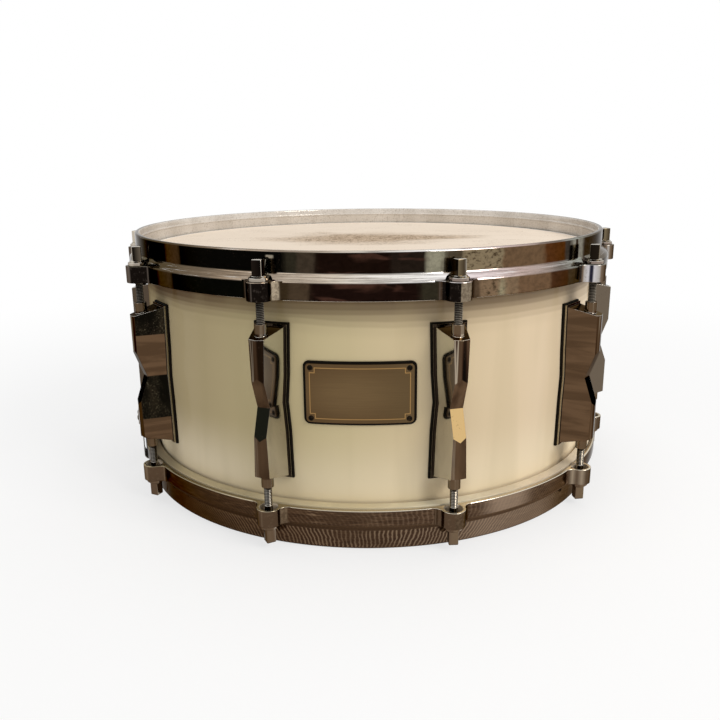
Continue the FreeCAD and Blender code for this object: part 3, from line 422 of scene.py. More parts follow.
def hoop_plating():
    """The upper hoop: dark walls with upright bands of painted reflection, and a rim, shoulder and inside
    made bright by painted reflections and highlights.
    """
    look = Look("upper_hoop_plating")
    _, y, z = look.axes()
    angle, _, _ = look.round_drum()
    up, out = look.facing("up"), look.facing("out")
    bands = look.drawn((52, 52, 10), 3, 0.5, 0.35)
    fine = look.drawn((170, 170, 60), 3, 0.6, 0.6)
    flecks = look.drawn((260, 260, 380), 4, 0.7)
    brushed = look.drawn((26, 26, 1500), 4, 0.75, 0.3)
    glow = look.drawn((38, 38, 150), 2, 0.5, 0.6).rise(0.54, 0.68)
    grime = look.noise(700, 3, 0.7).rise(0.52, 0.68)
    lower = z.rise(81.5, 79.5)
    turn = angle * DEGREES + (fine - 0.5) * 1.8 + lower * 0.9
    half_way = turn / 180 + 1
    # Painted reflections: upright bands of colour by angle round the drum, on the wall and the skirt.
    walls = look.ramp(half_way, *banded(
        (-180, 30, 28, 24), (-164, 24, 22, 18), (-151, 11, 11, 8), (-135, 64, 46, 30),
        (-130, 8, 7, 5), (-104, 44, 40, 30), (-101.5, 62, 52, 41), (-98, 25, 14, 9),
        (-84, 34, 26, 20), (-77.5, 146, 141, 120), (-74, 76, 66, 52), (-70.5, 134, 118, 92),
        (-61.5, 108, 84, 61), (-50.5, 84, 50, 26), (-44, 66, 60, 54), (-41.4, 150, 146, 134),
    ))
    skirt_painted_reflections = look.ramp(half_way, *banded(
        (-180, 60, 58, 52), (-164, 44, 38, 32), (-151, 56, 49, 42), (-140, 18, 12, 7),
        (-135, 60, 46, 32), (-130, 7, 7, 4), (-104, 54, 42, 27), (-101.5, 70, 56, 42),
        (-98, 27, 15, 11), (-78, 48, 43, 32), (-73, 38, 28, 20), (-69, 84, 67, 50),
        (-66.5, 126, 103, 79), (-58, 112, 86, 63), (-49.5, 72, 46, 29), (-44, 70, 57, 42),
    ))
    # More painted reflection: a flecked pale patch, darker bands to the right, pale mirrored rods and a
    # brownish glow.
    flecked = turn.within(-72, -61, 1)
    narrow = turn.within(-39.7, -38.6, 0.2) + turn.rise(-36.8, -35)
    rods = turn.within(-107.6, -106.1, 0.3) * z.rise(94.4, 93.6) * (1 - lower)
    front = look.layered(
        walls,
        (lower, skirt_painted_reflections),
        (flecked * flecks.rise(0.52, 0.64), (82, 66, 46)),
        (flecked * bands.rise(0.5, 0.66) * 0.7, (164, 156, 126)),
        (narrow, (66, 58, 52)),
        (turn.rise(-31, -26) * 0.8, (26, 22, 20)),
        (rods, (158, 148, 130)),
        (glow * turn.within(-97, -78, 2) * 0.55, (84, 55, 44)),
    )
    # Painted reflections on the wall's rear half.
    rear_painted_reflections = look.layered(
        (14, 12, 9),
        (bands.rise(0.50, 0.62), (84, 66, 50)),
        (bands.rise(0.66, 0.74) * 0.8, (168, 156, 138)),
    )
    wall = look.layered(front, (y.rise(-20, 25), rear_painted_reflections), (flecks.rise(0.35, 0.7) * 0.3, (0, 0, 0)))
    # The ears: a pale band, edge colours and a far-end ramp, all painted reflections.
    wall, ear, hollow = ear_plating(
        look, wall, (178, 162, 138), ((20, 15, 12), (62, 48, 36), (92, 82, 74)),
        (
            (0.10, 148, 144, 136), (0.17, 28, 28, 38), (0.34, 34, 34, 48), (0.40, 196, 192, 194),
            (0.62, 172, 166, 160), (0.70, 116, 98, 80), (0.92, 60, 46, 34),
        ),
    )
    # The shoulder: painted highlights and reflections by angle, streaked with painted glints and dark
    # lines.
    shoulder = look.ramp(
        half_way,
        (0.20, 100, 94, 78), (0.27, 92, 80, 62), (0.36, 146, 128, 108), (0.42, 178, 162, 144),
        (0.47, 204, 190, 172), (0.53, 230, 224, 216), (0.58, 246, 243, 240), (0.63, 230, 214, 214),
        (0.68, 194, 172, 164), (0.72, 168, 152, 144), (0.745, 140, 134, 128), (0.78, 184, 188, 180),
        (0.85, 146, 138, 126),
    )
    shoulder = look.layered(
        shoulder,
        (brushed.rise(0.56, 0.40) * 0.6, (84, 72, 60)),
        (brushed.rise(0.58, 0.68) * 0.6, (250, 248, 246)),
    )
    # The inside: pale as a painted reflection, with grime.
    inner = look.layered(
        (212, 205, 196),
        (bands.rise(0.3, 0.7), (228, 222, 214)),
        (grime * 0.5, (140, 126, 108)),
    )
    inside = out.rise(0.1, -0.5) * (1 - ear)
    shade = look.layered(
        wall,
        (up.rise(0.2, 0.5), shoulder),
        (inside, inner),
        (hollow, (120, 114, 102)),
    )
    metal = 1.0 - hollow * 0.75 - inside * 0.7
    return close_plating(look, shade, 0.35, 0.09, metal)


def lower_hoop_plating():
    """The lower hoop: brown, with painted reflections of close wavy lines that lean over towards its
    sides, and painted light that grows to the right.
    """
    look = Look("lower_hoop_plating")
    x, _, z = look.axes()
    angle, _, _ = look.round_drum()
    up, out = look.facing("up"), look.facing("out")
    rim = z.rise(-79, -82)
    drift = look.drawn((34, 34, 60), 3, 0.6, 0.8)
    broad = look.drawn((30, 30, 70), 3, 0.5, 0.5)
    fine = look.drawn((240, 240, 420), 4, 0.7)
    flowing = look.drawn((45, 45, 560), 4, 0.7, 2.0)
    # Painted reflections of close wavy lines that lean over towards the sides.
    lean = (z + 90) * (x * -0.022) + (z + 90) * (z + 90) * 0.03
    lines = look.math("SINE", angle * 430 + lean + drift * 15)
    # Painted light: each colour of the hoop pales to the right.
    side = x.rise(-150, 110)
    dark, light, middle, lip_painted_highlight, inner = (look.mix(side, left, right) for left, right in (
        ((44, 28, 15), (66, 49, 37)), ((104, 80, 56), (148, 126, 104)), ((64, 43, 25), (96, 75, 57)),
        ((150, 138, 112), (228, 218, 198)), ((196, 180, 148), (240, 228, 206)),
    ))
    strength = (broad.rise(0.3, 0.6) * 0.6 + 0.4) * (rim * 0.58 + 0.22)
    turn = angle * DEGREES
    # A painted sheen on the front of the skirt and rim.
    painted_sheen = turn.within(-64, -54, 3) * z.rise(-81, -79) * 0.5 + turn.within(-68, -44, 5) * rim * 0.3
    wall = look.layered(
        dark,
        (flowing.rise(0.36, 0.64), middle),
        (flowing.rise(0.58, 0.72) * 0.7, light),
        (lines.rise(0.1, 0.95) * strength, light),
        (lines.rise(-0.2, -0.95) * strength, dark),
        (fine.rise(0.55, 0.75) * 0.4, (34, 22, 13)),
        (painted_sheen, (176, 152, 130)),
    )
    # The ears: a band, edge colours and a far-end ramp, all painted reflections.
    wall, ear, hollow = ear_plating(
        look, wall, (112, 94, 74), ((84, 66, 50), (58, 42, 28), (112, 94, 76)),
        ((0.10, 70, 54, 40), (0.3, 86, 69, 54), (0.5, 150, 134, 114), (0.7, 86, 70, 54)),
    )
    # Faces turned down take the middle brown as a painted reflection, and are dull.
    dull = up.rise(-0.1, -0.35)
    # The lip facing up is a painted highlight, and the inside is pale as a painted reflection.
    shade = look.layered(
        wall,
        (up.rise(0.25, 0.6), lip_painted_highlight),
        (out.rise(0.1, -0.5) * (1 - ear), inner),
        (hollow, (196, 184, 166)),
        (dull, middle),
    )
    metal = 1.0 - hollow * 0.75 - dull * (1 - hollow)
    return close_plating(look, shade, 0.4, 0.12, metal)


def lug_plating():
    """The lugs: brown noses streaked with painted highlights, pale flanks, and facets that differ as their
    slopes do, all painted reflections and light.
    """
    look = Look("lug_plating")
    x, y, z = look.axes()
    _, radius, _ = look.round_drum()
    up, out, back = look.facing("up"), look.facing("out"), look.facing("back")
    # Upright streaks of painted highlight on the noses.
    painted_highlight_streaks = look.drawn((190, 190, 7), 2, 0.5, 0.15)
    cloud = look.drawn((60, 60, 26), 3, 0.6, 0.6)
    plain = look.mix(cloud.rise(0.35, 0.65), (58, 41, 28), (96, 74, 54))
    # A gold painted reflection on rising facets of the lugs to the front right, dark on the rest.
    gold_painted_reflection = look.mix(silvered(look)[0], (214, 180, 124), (150, 110, 60))
    rising_painted_reflection = look.mix(x.within(10, 130, 8), (18, 18, 13), gold_painted_reflection)
    # The noses: painted highlight streaks, painted shade to the left and a dark painted reflection on the
    # flange face.
    nose = look.layered(
        look.ramp(
            painted_highlight_streaks,
            (0.36, 18, 13, 10), (0.44, 46, 30, 20), (0.50, 76, 56, 40),
            (0.57, 86, 68, 51), (0.61, 176, 162, 142), (0.66, 64, 47, 34),
        ),
        (z.rise(17, 15) * 0.75, plain),
        (up.rise(-0.12, -0.2) * 0.9, plain),
        (x.rise(10, -40) * (z.rise(14, 20) * 0.25 + 0.3), (34, 21, 10)),
        (up.rise(0.15, 0.25), rising_painted_reflection),
        (radius.rise(SHELL + 5, SHELL + 4.5), (44, 36, 28)),
    )
    # Painted reflections on flanks turned to the front or back: a wooden board, the dark room in bands,
    # and paler greys on the lugs behind.
    grain = look.drawn((12, 12, 130), 4, 0.6, 0.8)
    painted_board_reflection = look.mix(grain.rise(0.4, 0.62), (80, 60, 42), (99, 76, 55))
    specks = look.noise(1300, 2, 0.7).rise(0.60, 0.68) * cloud.rise(0.42, 0.56)
    painted_room_reflection = look.layered(
        (14, 12, 8),
        (cloud.rise(0.4, 0.7), (36, 30, 21)),
        (specks * 0.5, (132, 122, 96)),
    )
    dark = z.rise(30.4, 31) + z.within(-31, 0.4, 0.3)
    behind = look.mix(x.rise(-40, 40), (80, 68, 56), (106, 94, 80))
    turned_away_painted_reflection = look.layered(painted_board_reflection, (dark * x.rise(40, -40), painted_room_reflection), (y.rise(-70, -30), behind))
    # The flanks: paler higher up as painted light, with a pale painted highlight along the edge by the
    # shell.
    flank = look.layered(
        (0.42, 0.40, 0.37),
        (cloud.rise(0.3, 0.7), (0.54, 0.52, 0.48)),
        (z.rise(0, 24) * 0.85, (0.62, 0.63, 0.60)),
        (abs(back).rise(0.5, 0.8), turned_away_painted_reflection),
        (radius.rise(SHELL + 3.3, SHELL + 3.0) * 0.7, (176, 168, 148)),
    )
    # Painted light on the tops, paler to the right, a painted highlight along the crest, and a brown
    # painted reflection on the sleeves.
    top = look.mix(x.rise(-90, -40), (34, 25, 20), (116, 100, 76))
    crest = z.rise(44, 45) * radius.rise(SHELL + 7, SHELL + 8)
    far_up = abs(z).rise(47.2, 47.8)
    sleeve = far_up * radius.rise(SHELL + 9, SHELL + 10)
    shade = look.layered(
        flank,
        (out.rise(0.5, 0.8), nose),
        (up.within(0.34, 0.8, 0.12) * crest, (226, 218, 206)),
        (up.rise(0.86, 0.95), top),
        (sleeve * 0.65, (98, 80, 60)),
    )
    return close_plating(look, shade, 0.5, 0.07)


def lacquer():
    """Gloss cream lacquer outside, browner under the upper hoop as painted shadow and to the left as
    painted shade, and maple inside.
    """
    look = Look("cream_lacquer")
    x, _, z = look.axes()
    _, radius, across = look.round_drum()
    outside = radius.rise(176.5, 177.3)
    clouds = look.noise(9, 3, 0.55)
    # Painted light: the cream darkens to the left and pales to the right.
    cream = look.ramp(
        x / 400 + 0.5 + clouds * 0.03,
        (0.055, 0.09, 0.055, 0.025), (0.085, 0.20, 0.13, 0.06), (0.12, 0.42, 0.33, 0.18),
        (0.17, 0.54, 0.44, 0.26), (0.25, 0.52, 0.42, 0.235), (0.34, 0.60, 0.50, 0.28),
        (0.48, 0.64, 0.54, 0.32), (0.66, 0.71, 0.575, 0.375), (0.82, 0.76, 0.615, 0.43),
        (0.95, 0.80, 0.67, 0.48),
    )
    # Painted shadow of the upper hoop: layered bands under it, wavy and tilted.
    wave = (look.drawn((14, 14, 3), 2, 0.5) - 0.5) * 5
    height = z + wave + x * 0.012
    shaded = (
        z.rise(63, 65) * 0.14 + z.rise(59.5, 61) * 0.14
        + z.rise(56.5, 58) * 0.20 + height.rise(53, 54.5) * 0.16
        + height.rise(49, 51) * 0.16 + height.rise(41, 48) * 0.06
    )
    # Painted light: paler low down, less so to the left.
    low = z.rise(-15, -64) * (x.rise(-60, -110) * 0.25 + 0.6)
    # Painted reflections of the lugs: faint darker upright streaks.
    painted_lug_reflections = look.drawn((26, 26, 2.5), 3, 0.5, 0.4)
    foot = across.within(-17, 17, 6) * z.rise(-44, -60) * clouds.rise(0.3, 0.6)
    cream = look.layered(
        cream,
        (shaded * (x.rise(-60, -140) * 0.3 + 1.0), (0.11, 0.06, 0.025)),
        (low, (0.94, 0.82, 0.60)),
        (painted_lug_reflections.rise(0.48, 0.66) * 0.16, (0.46, 0.38, 0.20)),
        (foot * 0.4, (0.34, 0.24, 0.13)),
    )
    grain = look.drawn((30, 30, 600), 5, 0.6, scale=3)
    maple = look.mix(grain, (0.48, 0.31, 0.16), (0.62, 0.44, 0.25))
    return look.surface({
        "Base Color": look.mix(outside, maple, cream),
        "Roughness": 0.45 - outside * 0.3 + clouds * 0.06,
        "Specular IOR Level": 0.0,
        "Coat Weight": outside * (x.rise(-150, -100) * 0.2 + 0.03),
        "Coat Roughness": 0.04,
        "Normal": look.bump(look.noise(160, 2, 0.5), 0.00002, 0.4),
    })


def coated_film():
    """The batter head: rough warm white coating, worn brown and speckled where sticks land."""
    look = Look("coated_film")
    x, y, _ = look.axes()
    drift = look.drawn((16, 40, 1), 5, 0.6, 0.8)
    fine = look.noise(560, 4, 0.75)
    across, along = x + 6, y - 22
    from_middle = look.math("SQRT", across * across * 0.000170 + along * along * 0.00040)
    tail = (y - x * 0.06).within(8, 40, 10) * x.within(20, 112, 20) * 0.5
    worn = (1.3 - from_middle + (drift - 0.5) * 1.1 + tail).rise(0.02, 1.0)
    specks = (fine + (look.noise(150, 3, 0.7) - 0.5) * 0.6).rise(0.44, 0.62)
    scattered = (fine + (drift - 0.5) * 0.5).rise(0.56, 0.70) * 0.28
    white = look.layered(
        (0.81, 0.69, 0.56),
        (look.noise(14, 4, 0.6), (0.89, 0.78, 0.66)),
        (look.distance(x, y).rise(176, 177.5), (0.90, 0.88, 0.84)),
    )
    dirt = look.mix(specks, (0.38, 0.23, 0.10), (0.13, 0.07, 0.027))
    amount = worn * (specks * 0.34 + 0.50) + scattered * (1 - worn)
    return look.surface({
        "Base Color": look.mix(amount, white, dirt),
        "Roughness": 0.72 - worn * 0.12,
        "Specular IOR Level": 0.0,
        "Normal": look.bump(fine, 0.00006, 0.5),
    })


def hazy_film():
    """The thin snare-side head, faintly cloudy."""
    look = Look("hazy_film")
    clouds = look.noise(30, 4, 0.6)
    return look.surface({
        "Base Color": look.mix(clouds, (0.70, 0.71, 0.70), (0.82, 0.83, 0.82)),
        "Roughness": clouds * 0.15 + 0.2,
        "Normal": look.bump(look.noise(200, 2, 0.5), 0.00002, 0.3),
    })


def even_look(look, grain, shades, rough, spread, depth, strength, **more):
    """Closes a look of two shades and one grain, which also makes it rougher and bumpy."""
    return look.surface({
        "Base Color": look.mix(grain, *shades),
        "Roughness": grain * spread + rough,
        "Normal": look.bump(grain, depth, strength),
        **more,
    })


def satin_metal(name, base, brushed=(400, 400, 20)):
    """Steel with a fine brushed grain."""
    look = Look(name)
    shades = [channel * 0.8 for channel in base], base
    return even_look(look, look.drawn(brushed, 4, 0.6), shades, 0.2, 0.2, 0.00002, 0.3, Metallic=1.0)


def hoop_aluminium():
    """The heads' flesh hoops: brushed aluminium, warmer and duller to the left as painted shade, and paler
    on the upper one as painted light.
    """
    look = Look("hoop_aluminium")
    x, _, z = look.axes()
    grain = look.drawn((30, 30, 900), 4, 0.6)
    # Painted light: paler to the right and on the upper hoop.
    shade = look.ramp(
        x / 400 + 0.5 + z.rise(0, 10) * 0.4,
        (0.10, 0.24, 0.19, 0.12), (0.19, 0.72, 0.64, 0.44), (0.50, 0.86, 0.78, 0.56),
        (0.62, 0.92, 0.88, 0.72), (0.80, 0.94, 0.85, 0.70),
    )
    return look.surface({
        "Base Color": look.mix(grain.rise(0.6, 0.4) * 0.2, shade, (0.40, 0.34, 0.26)),
        "Metallic": 0.5,
        "Roughness": grain * 0.2 + 0.4,
        "Specular Tint": PLATED_TINT,
        "Normal": look.bump(grain, 0.00002, 0.3),
    })


def rubber():
    """Black rubber with a dusty bloom."""
    look = Look("black_rubber")
    shades = (0.004, 0.003, 0.002), (0.014, 0.011, 0.008)
    gloss = {"Specular IOR Level": 0.03}
    return even_look(look, look.noise(150, 4, 0.65), shades, 0.55, 0.2, 0.00004, 0.4, **gloss)


def smoky_plate():
    """The bare name plate: smoked bronze, paler in the middle and to the right as a painted highlight,
    with a thin gilt border.
    """
    look = Look("smoked_bronze")
    x, _, z = look.axes()
    across = abs(x)
    up = abs(z - PLATE_Z)
    # A painted highlight: paler round a point just left of the middle, and to the right.
    glow = look.math("SQRT", (x + 4) * (x + 4) * 0.3 + up * up).rise(4, 24)
    brushed = look.drawn((40, 40, 900), 4, 0.6)
    bronze = look.layered(
        (0.165, 0.105, 0.048),
        (glow, (0.112, 0.066, 0.029)),
        (x.rise(0, 34) * 0.4, (0.15, 0.105, 0.050)),
        (brushed * 0.35, (0.06, 0.036, 0.02)),
    )
    panel = look.math("MAXIMUM", across - PLATE_OUT, up - PLATE_UP)
    notch = look.math("MINIMUM", across - 28.4, up - 13.4)
    border = look.math("ABSOLUTE", look.math("MAXIMUM", panel, notch))
    line = 1 - border.rise(0.16, 0.34)
    gilt = look.mix(brushed, (0.32, 0.17, 0.05), (0.46, 0.27, 0.09))
    return look.surface({
        "Base Color": look.mix(line * 0.9, bronze, gilt),
        "Metallic": 1.0 - line * 0.3,
        "Roughness": brushed * 0.12 + 0.24,
        "Normal": look.bump(brushed, 0.00001, 0.3),
    })


def strap_plastic():
    """The thin milky band that ties the snare wires on."""
    look = Look("milky_band")
    shades = (0.62, 0.62, 0.58), (0.76, 0.76, 0.72)
    return even_look(look, look.noise(80, 3, 0.5), shades, 0.3, 0.15, 0.00003, 0.3)


def blackened_screw():
    """Small black screws, worn bright on their edges."""
    look = Look("black_screw")
    wear = look.noise(500, 3, 0.6).rise(0.5, 0.7)
    return look.surface({
        "Base Color": look.mix(wear, (0.006, 0.004, 0.002), (0.06, 0.035, 0.015)),
        "Roughness": wear * 0.2 + 0.4,
        "Specular IOR Level": 0.05,
    })


HOOP = hoop_plating()
LOWER_HOOP = lower_hoop_plating()
CASTING = lug_plating()
ROD = rod_plating()
FITTING = fitting_plating()
LACQUER = lacquer()
COATED = coated_film()
HAZY = hazy_film()
ALUMINIUM = hoop_aluminium()
STEEL = satin_metal("plain_steel", (0.60, 0.60, 0.60))
WIRE = satin_metal("snare_wire", (0.66, 0.65, 0.63), (90, 90, 90))
RUBBER = rubber()
SMOKED = smoky_plate()
BAND = strap_plastic()
SCREW = blackened_screw()


# --- mesh helpers ---


def meshed(bm, name):
    """A mesh of a bmesh, which it frees."""
    mesh = bpy.data.meshes.new(name)
    bm.to_mesh(mesh)
    bm.free()
    return mesh


def set_out(name, data):
    """A new object in the scene."""
    item = bpy.data.objects.new(name, data)
    bpy.context.scene.collection.objects.link(item)
    return item


def put_down(bm, name, place, finish, body, sharp=32, fix=True):
    """Makes an object of a bmesh, in its place, riding on a body."""
    bm.transform(place)
    if fix:
        bmesh.ops.recalc_face_normals(bm, faces=bm.faces)
    mesh = meshed(bm, name)
    mesh.shade_smooth()
    mesh.set_sharp_from_angle(angle=math.radians(sharp))
    mesh.materials.append(finish)
    piece = set_out(name, mesh)
    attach(piece, body)
    return piece


def rounded(bm, edges, width, segments, clamp=False):
    """Rounds edges off to a width."""
    bmesh.ops.bevel(
        bm, geom=edges, offset=width, affect="EDGES", segments=segments, profile=0.5, material=-1,
        clamp_overlap=clamp,
    )


def crests(bm, angle):
    """The edges that fold by more than an angle in radians."""
    return [edge for edge in bm.edges if edge.is_manifold and edge.calc_face_angle() > angle]


def reach(edge, axis):
    """How far an edge goes along x, y or z."""
    first, last = edge.verts
    return abs(getattr(first.co, axis) - getattr(last.co, axis))


def outline(bm, corners):
    """A flat face from corners given as (point, rounding)."""
    ring = [bm.verts.new(point) for point, _ in corners]
    bm.faces.new(ring)
    for vertex, (_, rounding) in zip(ring, corners):
        if rounding:
            bmesh.ops.bevel(
                bm, geom=[vertex], offset=rounding, affect="VERTICES", segments=4, profile=0.5, material=-1
            )
    bm.faces.ensure_lookup_table()
    return bm.faces[0]


def drawn_out(bm, way):
    """Makes a solid of a flat face, by drawing it out that far."""
    made = bmesh.ops.extrude_face_region(bm, geom=bm.faces[:])
    far = [item for item in made["geom"] if isinstance(item, bmesh.types.BMVert)]
    bmesh.ops.translate(bm, verts=far, vec=way)


def spun(bm, geometry, steps, centre=(0, 0)):
    """A full turn of a line about an upright axis."""
    bmesh.ops.spin(
        bm, geom=geometry, cent=(*centre, 0), axis=(0, 0, 1), angle=math.tau, steps=steps, use_merge=True
    )


def carried_round(bm, vertex, centre, angle, steps):
    """Carries a line on from a vertex, round a centre, and gives its new end."""
    made = bmesh.ops.spin(bm, geom=[vertex], cent=(*centre, 0), axis=(0, 0, 1), angle=angle, steps=steps)
    return next(item for item in made["geom_last"] if isinstance(item, bmesh.types.BMVert))


def turned(bm, corners, steps):
    """A profile of (radius, height, rounding), closed and turned about Z."""
    face = outline(bm, [((radius, 0, height), rounding) for radius, height, rounding in corners])
    rim = list(face.edges)
    bmesh.ops.delete(bm, geom=[face], context="FACES_ONLY")
    spun(bm, list(bm.verts) + rim, steps)


def post(bm, corners, steps, centre=(0, 0)):
    """A solid of turning from an open profile of (radius, height), which ends on its axis."""
    x, y = centre
    line = [bm.verts.new((x + radius, y, height)) for radius, height in corners]
    edges = [bm.edges.new(pair) for pair in zip(line, line[1:])]
    spun(bm, line + edges, steps, centre)
    bmesh.ops.remove_doubles(bm, verts=bm.verts, dist=1e-4)


def peg(bm, foot, head, depth, place, segments=40):
    """A round bar with its middle at a place, given its radius at each end."""
    bmesh.ops.create_cone(
        bm, cap_ends=True, segments=segments, radius1=foot, radius2=head, depth=depth, matrix=place
    )


def block(size, place=Matrix.Identity(4)):
    """A box of that size, with its middle at a place."""
    bm = bmesh.new()
    bmesh.ops.create_cube(bm, size=1, matrix=place @ Matrix.Diagonal((*size, 1)))
    return bm


def take_in(bm, other, places=(Matrix.Identity(4),)):
    """Adds another bmesh to this one, once in each place, and frees it."""
    for place in places:
        mesh = bpy.data.meshes.new("blank")
        other.to_mesh(mesh)
        mesh.transform(place)
        bm.from_mesh(mesh)
        bpy.data.meshes.remove(mesh)
    other.free()


def loose_object(bm):
    """An object for a moment's work, of a closed bmesh."""
    bmesh.ops.recalc_face_normals(bm, faces=bm.faces)
    return set_out("blank", meshed(bm, "blank"))


def carved(bm, *tools):
    """A bmesh with others cut out of it, one after another."""
    solid = loose_object(bm)
    for tool in tools:
        cutter = solid.modifiers.new("cut", "BOOLEAN")
        cutter.operation = "DIFFERENCE"
        cutter.solver = "EXACT"
        cutter.object = loose_object(tool)
        graph = bpy.context.evaluated_depsgraph_get()
        cut = bpy.data.meshes.new_from_object(solid.evaluated_get(graph))
        bpy.data.objects.remove(cutter.object)
        solid.modifiers.remove(cutter)
        solid.data = cut
    result = bmesh.new()
    result.from_mesh(solid.data)
    bpy.data.objects.remove(solid)
    return result


def softened(node, name, finish, width, body="drum", slot="chrome", angle=14):
    """A copy of a CAD node with its edges rounded, standing for it."""
    bm = bmesh.new()
    bm.from_mesh(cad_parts[node].data)
    bmesh.ops.remove_doubles(bm, verts=bm.verts, dist=1e-6)
    bmesh.ops.dissolve_limit(bm, angle_limit=math.radians(0.5), verts=bm.verts, edges=bm.edges)
    rounded(bm, crests(bm, math.radians(angle)), width / 1000, 2, clamp=True)
    piece = put_down(bm, name, Matrix.Identity(4), finish, body, sharp=60, fix=False)
    flats = piece.modifiers.new("flats", "WEIGHTED_NORMAL")
    flats.keep_sharp = True
    flats.weight = 80
    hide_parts(node)


# --- the drum's pieces ---


def ear_face(bm):
    """An ear's outline as one face: round about its rod, and flared into the skirt on both sides."""
    to_ear, to_axis = EAR + EAR_FILLET, SKIRT + EAR_FILLET
    out = (to_axis**2 - to_ear**2 + ROD_CIRCLE**2) / (2 * ROD_CIRCLE)
    across = math.sqrt(to_axis**2 - out**2)
    from_axis, from_rod = math.atan2(across, out), math.atan2(across, out - ROD_CIRCLE)
    foot = (SKIRT * math.cos(from_axis), -SKIRT * math.sin(from_axis))
    within_skirt = SKIRT - SKIRT_WALL / 2
    root = bm.verts.new((within_skirt, foot[1], 0))
    line = bm.verts.new((*foot, 0))
    bm.edges.new((root, line))
    line = carried_round(bm, line, (out, -across), from_axis - from_rod, 8)
    line = carried_round(bm, line, (ROD_CIRCLE, 0), from_rod * 2, 28)
    line = carried_round(bm, line, (out, across), from_axis - from_rod, 8)
    last = bm.verts.new((within_skirt, -foot[1], 0))
    bm.edges.new((line, last))
    bm.edges.new((last, root))
    bmesh.ops.contextual_create(bm, geom=bm.edges[:])


def make_ear():
    """One solid ear beside the skirt, hollow from below."""
    ear = bmesh.new()
    ear_face(ear)
    ear.transform(moved(0, 0, SKIRT_EDGE))
    drawn_out(ear, (0, 0, SHOULDER_FOOT - SKIRT_EDGE))
    hollow = bmesh.new()
    start = SKIRT_EDGE - 2
    depth = SHOULDER_FOOT - EAR_ROOF - start
    middle = moved(ROD_CIRCLE, 0, start + depth / 2)
    peg(hollow, EAR - EAR_WALL, EAR - EAR_WALL, depth, middle)
    ear = carved(ear, hollow)
    rounded(ear, crests(ear, 1.2), 0.4, 3)
    return ear


def make_gate():
    """The tool that cuts a gate for the snare strap through both sides of the lower hoop."""
    gate = block((GATE_WIDTH, SKIRT * 2 + 8, GATE_HEIGHT), moved(0, 0, EDGE + 4.9))
    rounded(gate, [edge for edge in gate.edges if reach(edge, "y") > 1], 1.4, 4)
    return gate


def make_hoop(name, node, below, finish):
    """A die-cast hoop: upper wall, rounded shoulder and skirt, with ten hollow ears."""
    inside, throat = RIM - RIM_WALL, EDGE - 6.1
    ring = bmesh.new()
    turned(ring, [
        (SKIRT - SKIRT_WALL, SKIRT_EDGE, 0.6),
        (SKIRT, SKIRT_EDGE, 0.9),
        (SKIRT, SHOULDER_FOOT - 0.4, 1.4),
        (RIM, EDGE + 0.6, 1.2),
        (RIM, RIM_TOP, 1.3),
        (inside, RIM_TOP, 1.0),
        (inside, GROOVE + 1.0, 0.2),
        (inside - 0.5, GROOVE + 0.5, 0.2),
        (inside - 0.5, GROOVE - 0.5, 0.2),
        (inside, GROOVE - 1.0, 0.2),
        (inside, throat, 0.5),
        (SKIRT - SKIRT_WALL, throat, 0.5),
    ], 240)
    stations = [round_axis(ROD_STEP * number) for number in range(RODS)]
    seats = bmesh.new()
    seat = moved(ROD_CIRCLE, 0, SHOULDER_FOOT - 0.05 + 6)
    for station in stations:
        peg(seats, EAR + 0.3, EAR + 0.5, 12, station @ seat, 48)
    ring = carved(ring, seats, make_gate()) if below else carved(ring, seats)
    take_in(ring, make_ear(), stations)
    piece = put_down(ring, name, standing(FIRST_ROD, below), finish, "drum", fix=False)
    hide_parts(node)


def make_thread():
    """A rod's thread as one winding surface, about Z."""
    thread = bmesh.new()
    line = []
    for turn in range(THREAD_TURNS):
        height = THREAD_START + turn * THREAD_PITCH
        line.append(thread.verts.new((2.68, 0, height)))
        line.append(thread.verts.new((2.25, 0, height + THREAD_PITCH / 2)))
    edges = [thread.edges.new(pair) for pair in zip(line, line[1:])]
    bmesh.ops.spin(
        thread, geom=line + edges, cent=(0, 0, 0), axis=(0, 0, 1), dvec=(0, 0, THREAD_PITCH / 20),
        angle=math.tau, steps=20,
    )
    bmesh.ops.remove_doubles(thread, verts=thread.verts, dist=1e-3)
    return thread


def make_rod(number, below, stopped):
    """A tension rod: square head, flange and washer, and a shank with its thread."""
    node = f"{'bottom' if below else 'top'}_rod_{number}"
    seat = SHOULDER_FOOT
    angle = FIRST_ROD + ROD_STEP * (number - 1)
    rod = bmesh.new()
    post(rod, [
        (0, seat + FLANGE), (4.6, seat + FLANGE), (5.0, seat + 3.1), (5.0, seat + 2.3), (6.0, seat + 2.2),
        (6.2, seat + 2.0), (6.2, seat + 0.2), (6.0, seat + 0.02), (SHANK, seat), (SHANK, SHANK_END),
        (2.2, SHANK_END - 0.5), (0, SHANK_END - 0.5),
    ], 40, (ROD_CIRCLE, 0))
    head = block((HEAD_WIDTH, HEAD_WIDTH, HEAD_HEIGHT))
    rounded(head, [edge for edge in head.edges if reach(edge, "z") > 1], 0.55, 3)
    near_top = HEAD_HEIGHT / 2 - 0.05
    crown = [edge for edge in head.edges if all(vertex.co.z > near_top for vertex in edge.verts)]
    rounded(head, crown, 0.7, 3)
    above = moved(ROD_CIRCLE, 0, seat + FLANGE - 0.2 + HEAD_HEIGHT / 2)
    take_in(rod, head, [above @ round_axis(stopped - angle)])
    take_in(rod, make_thread(), [moved(ROD_CIRCLE, 0, 0)])
    piece = put_down(rod, f"{node}_threaded", standing(angle, below), ROD, node, sharp=40)
    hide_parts(node)


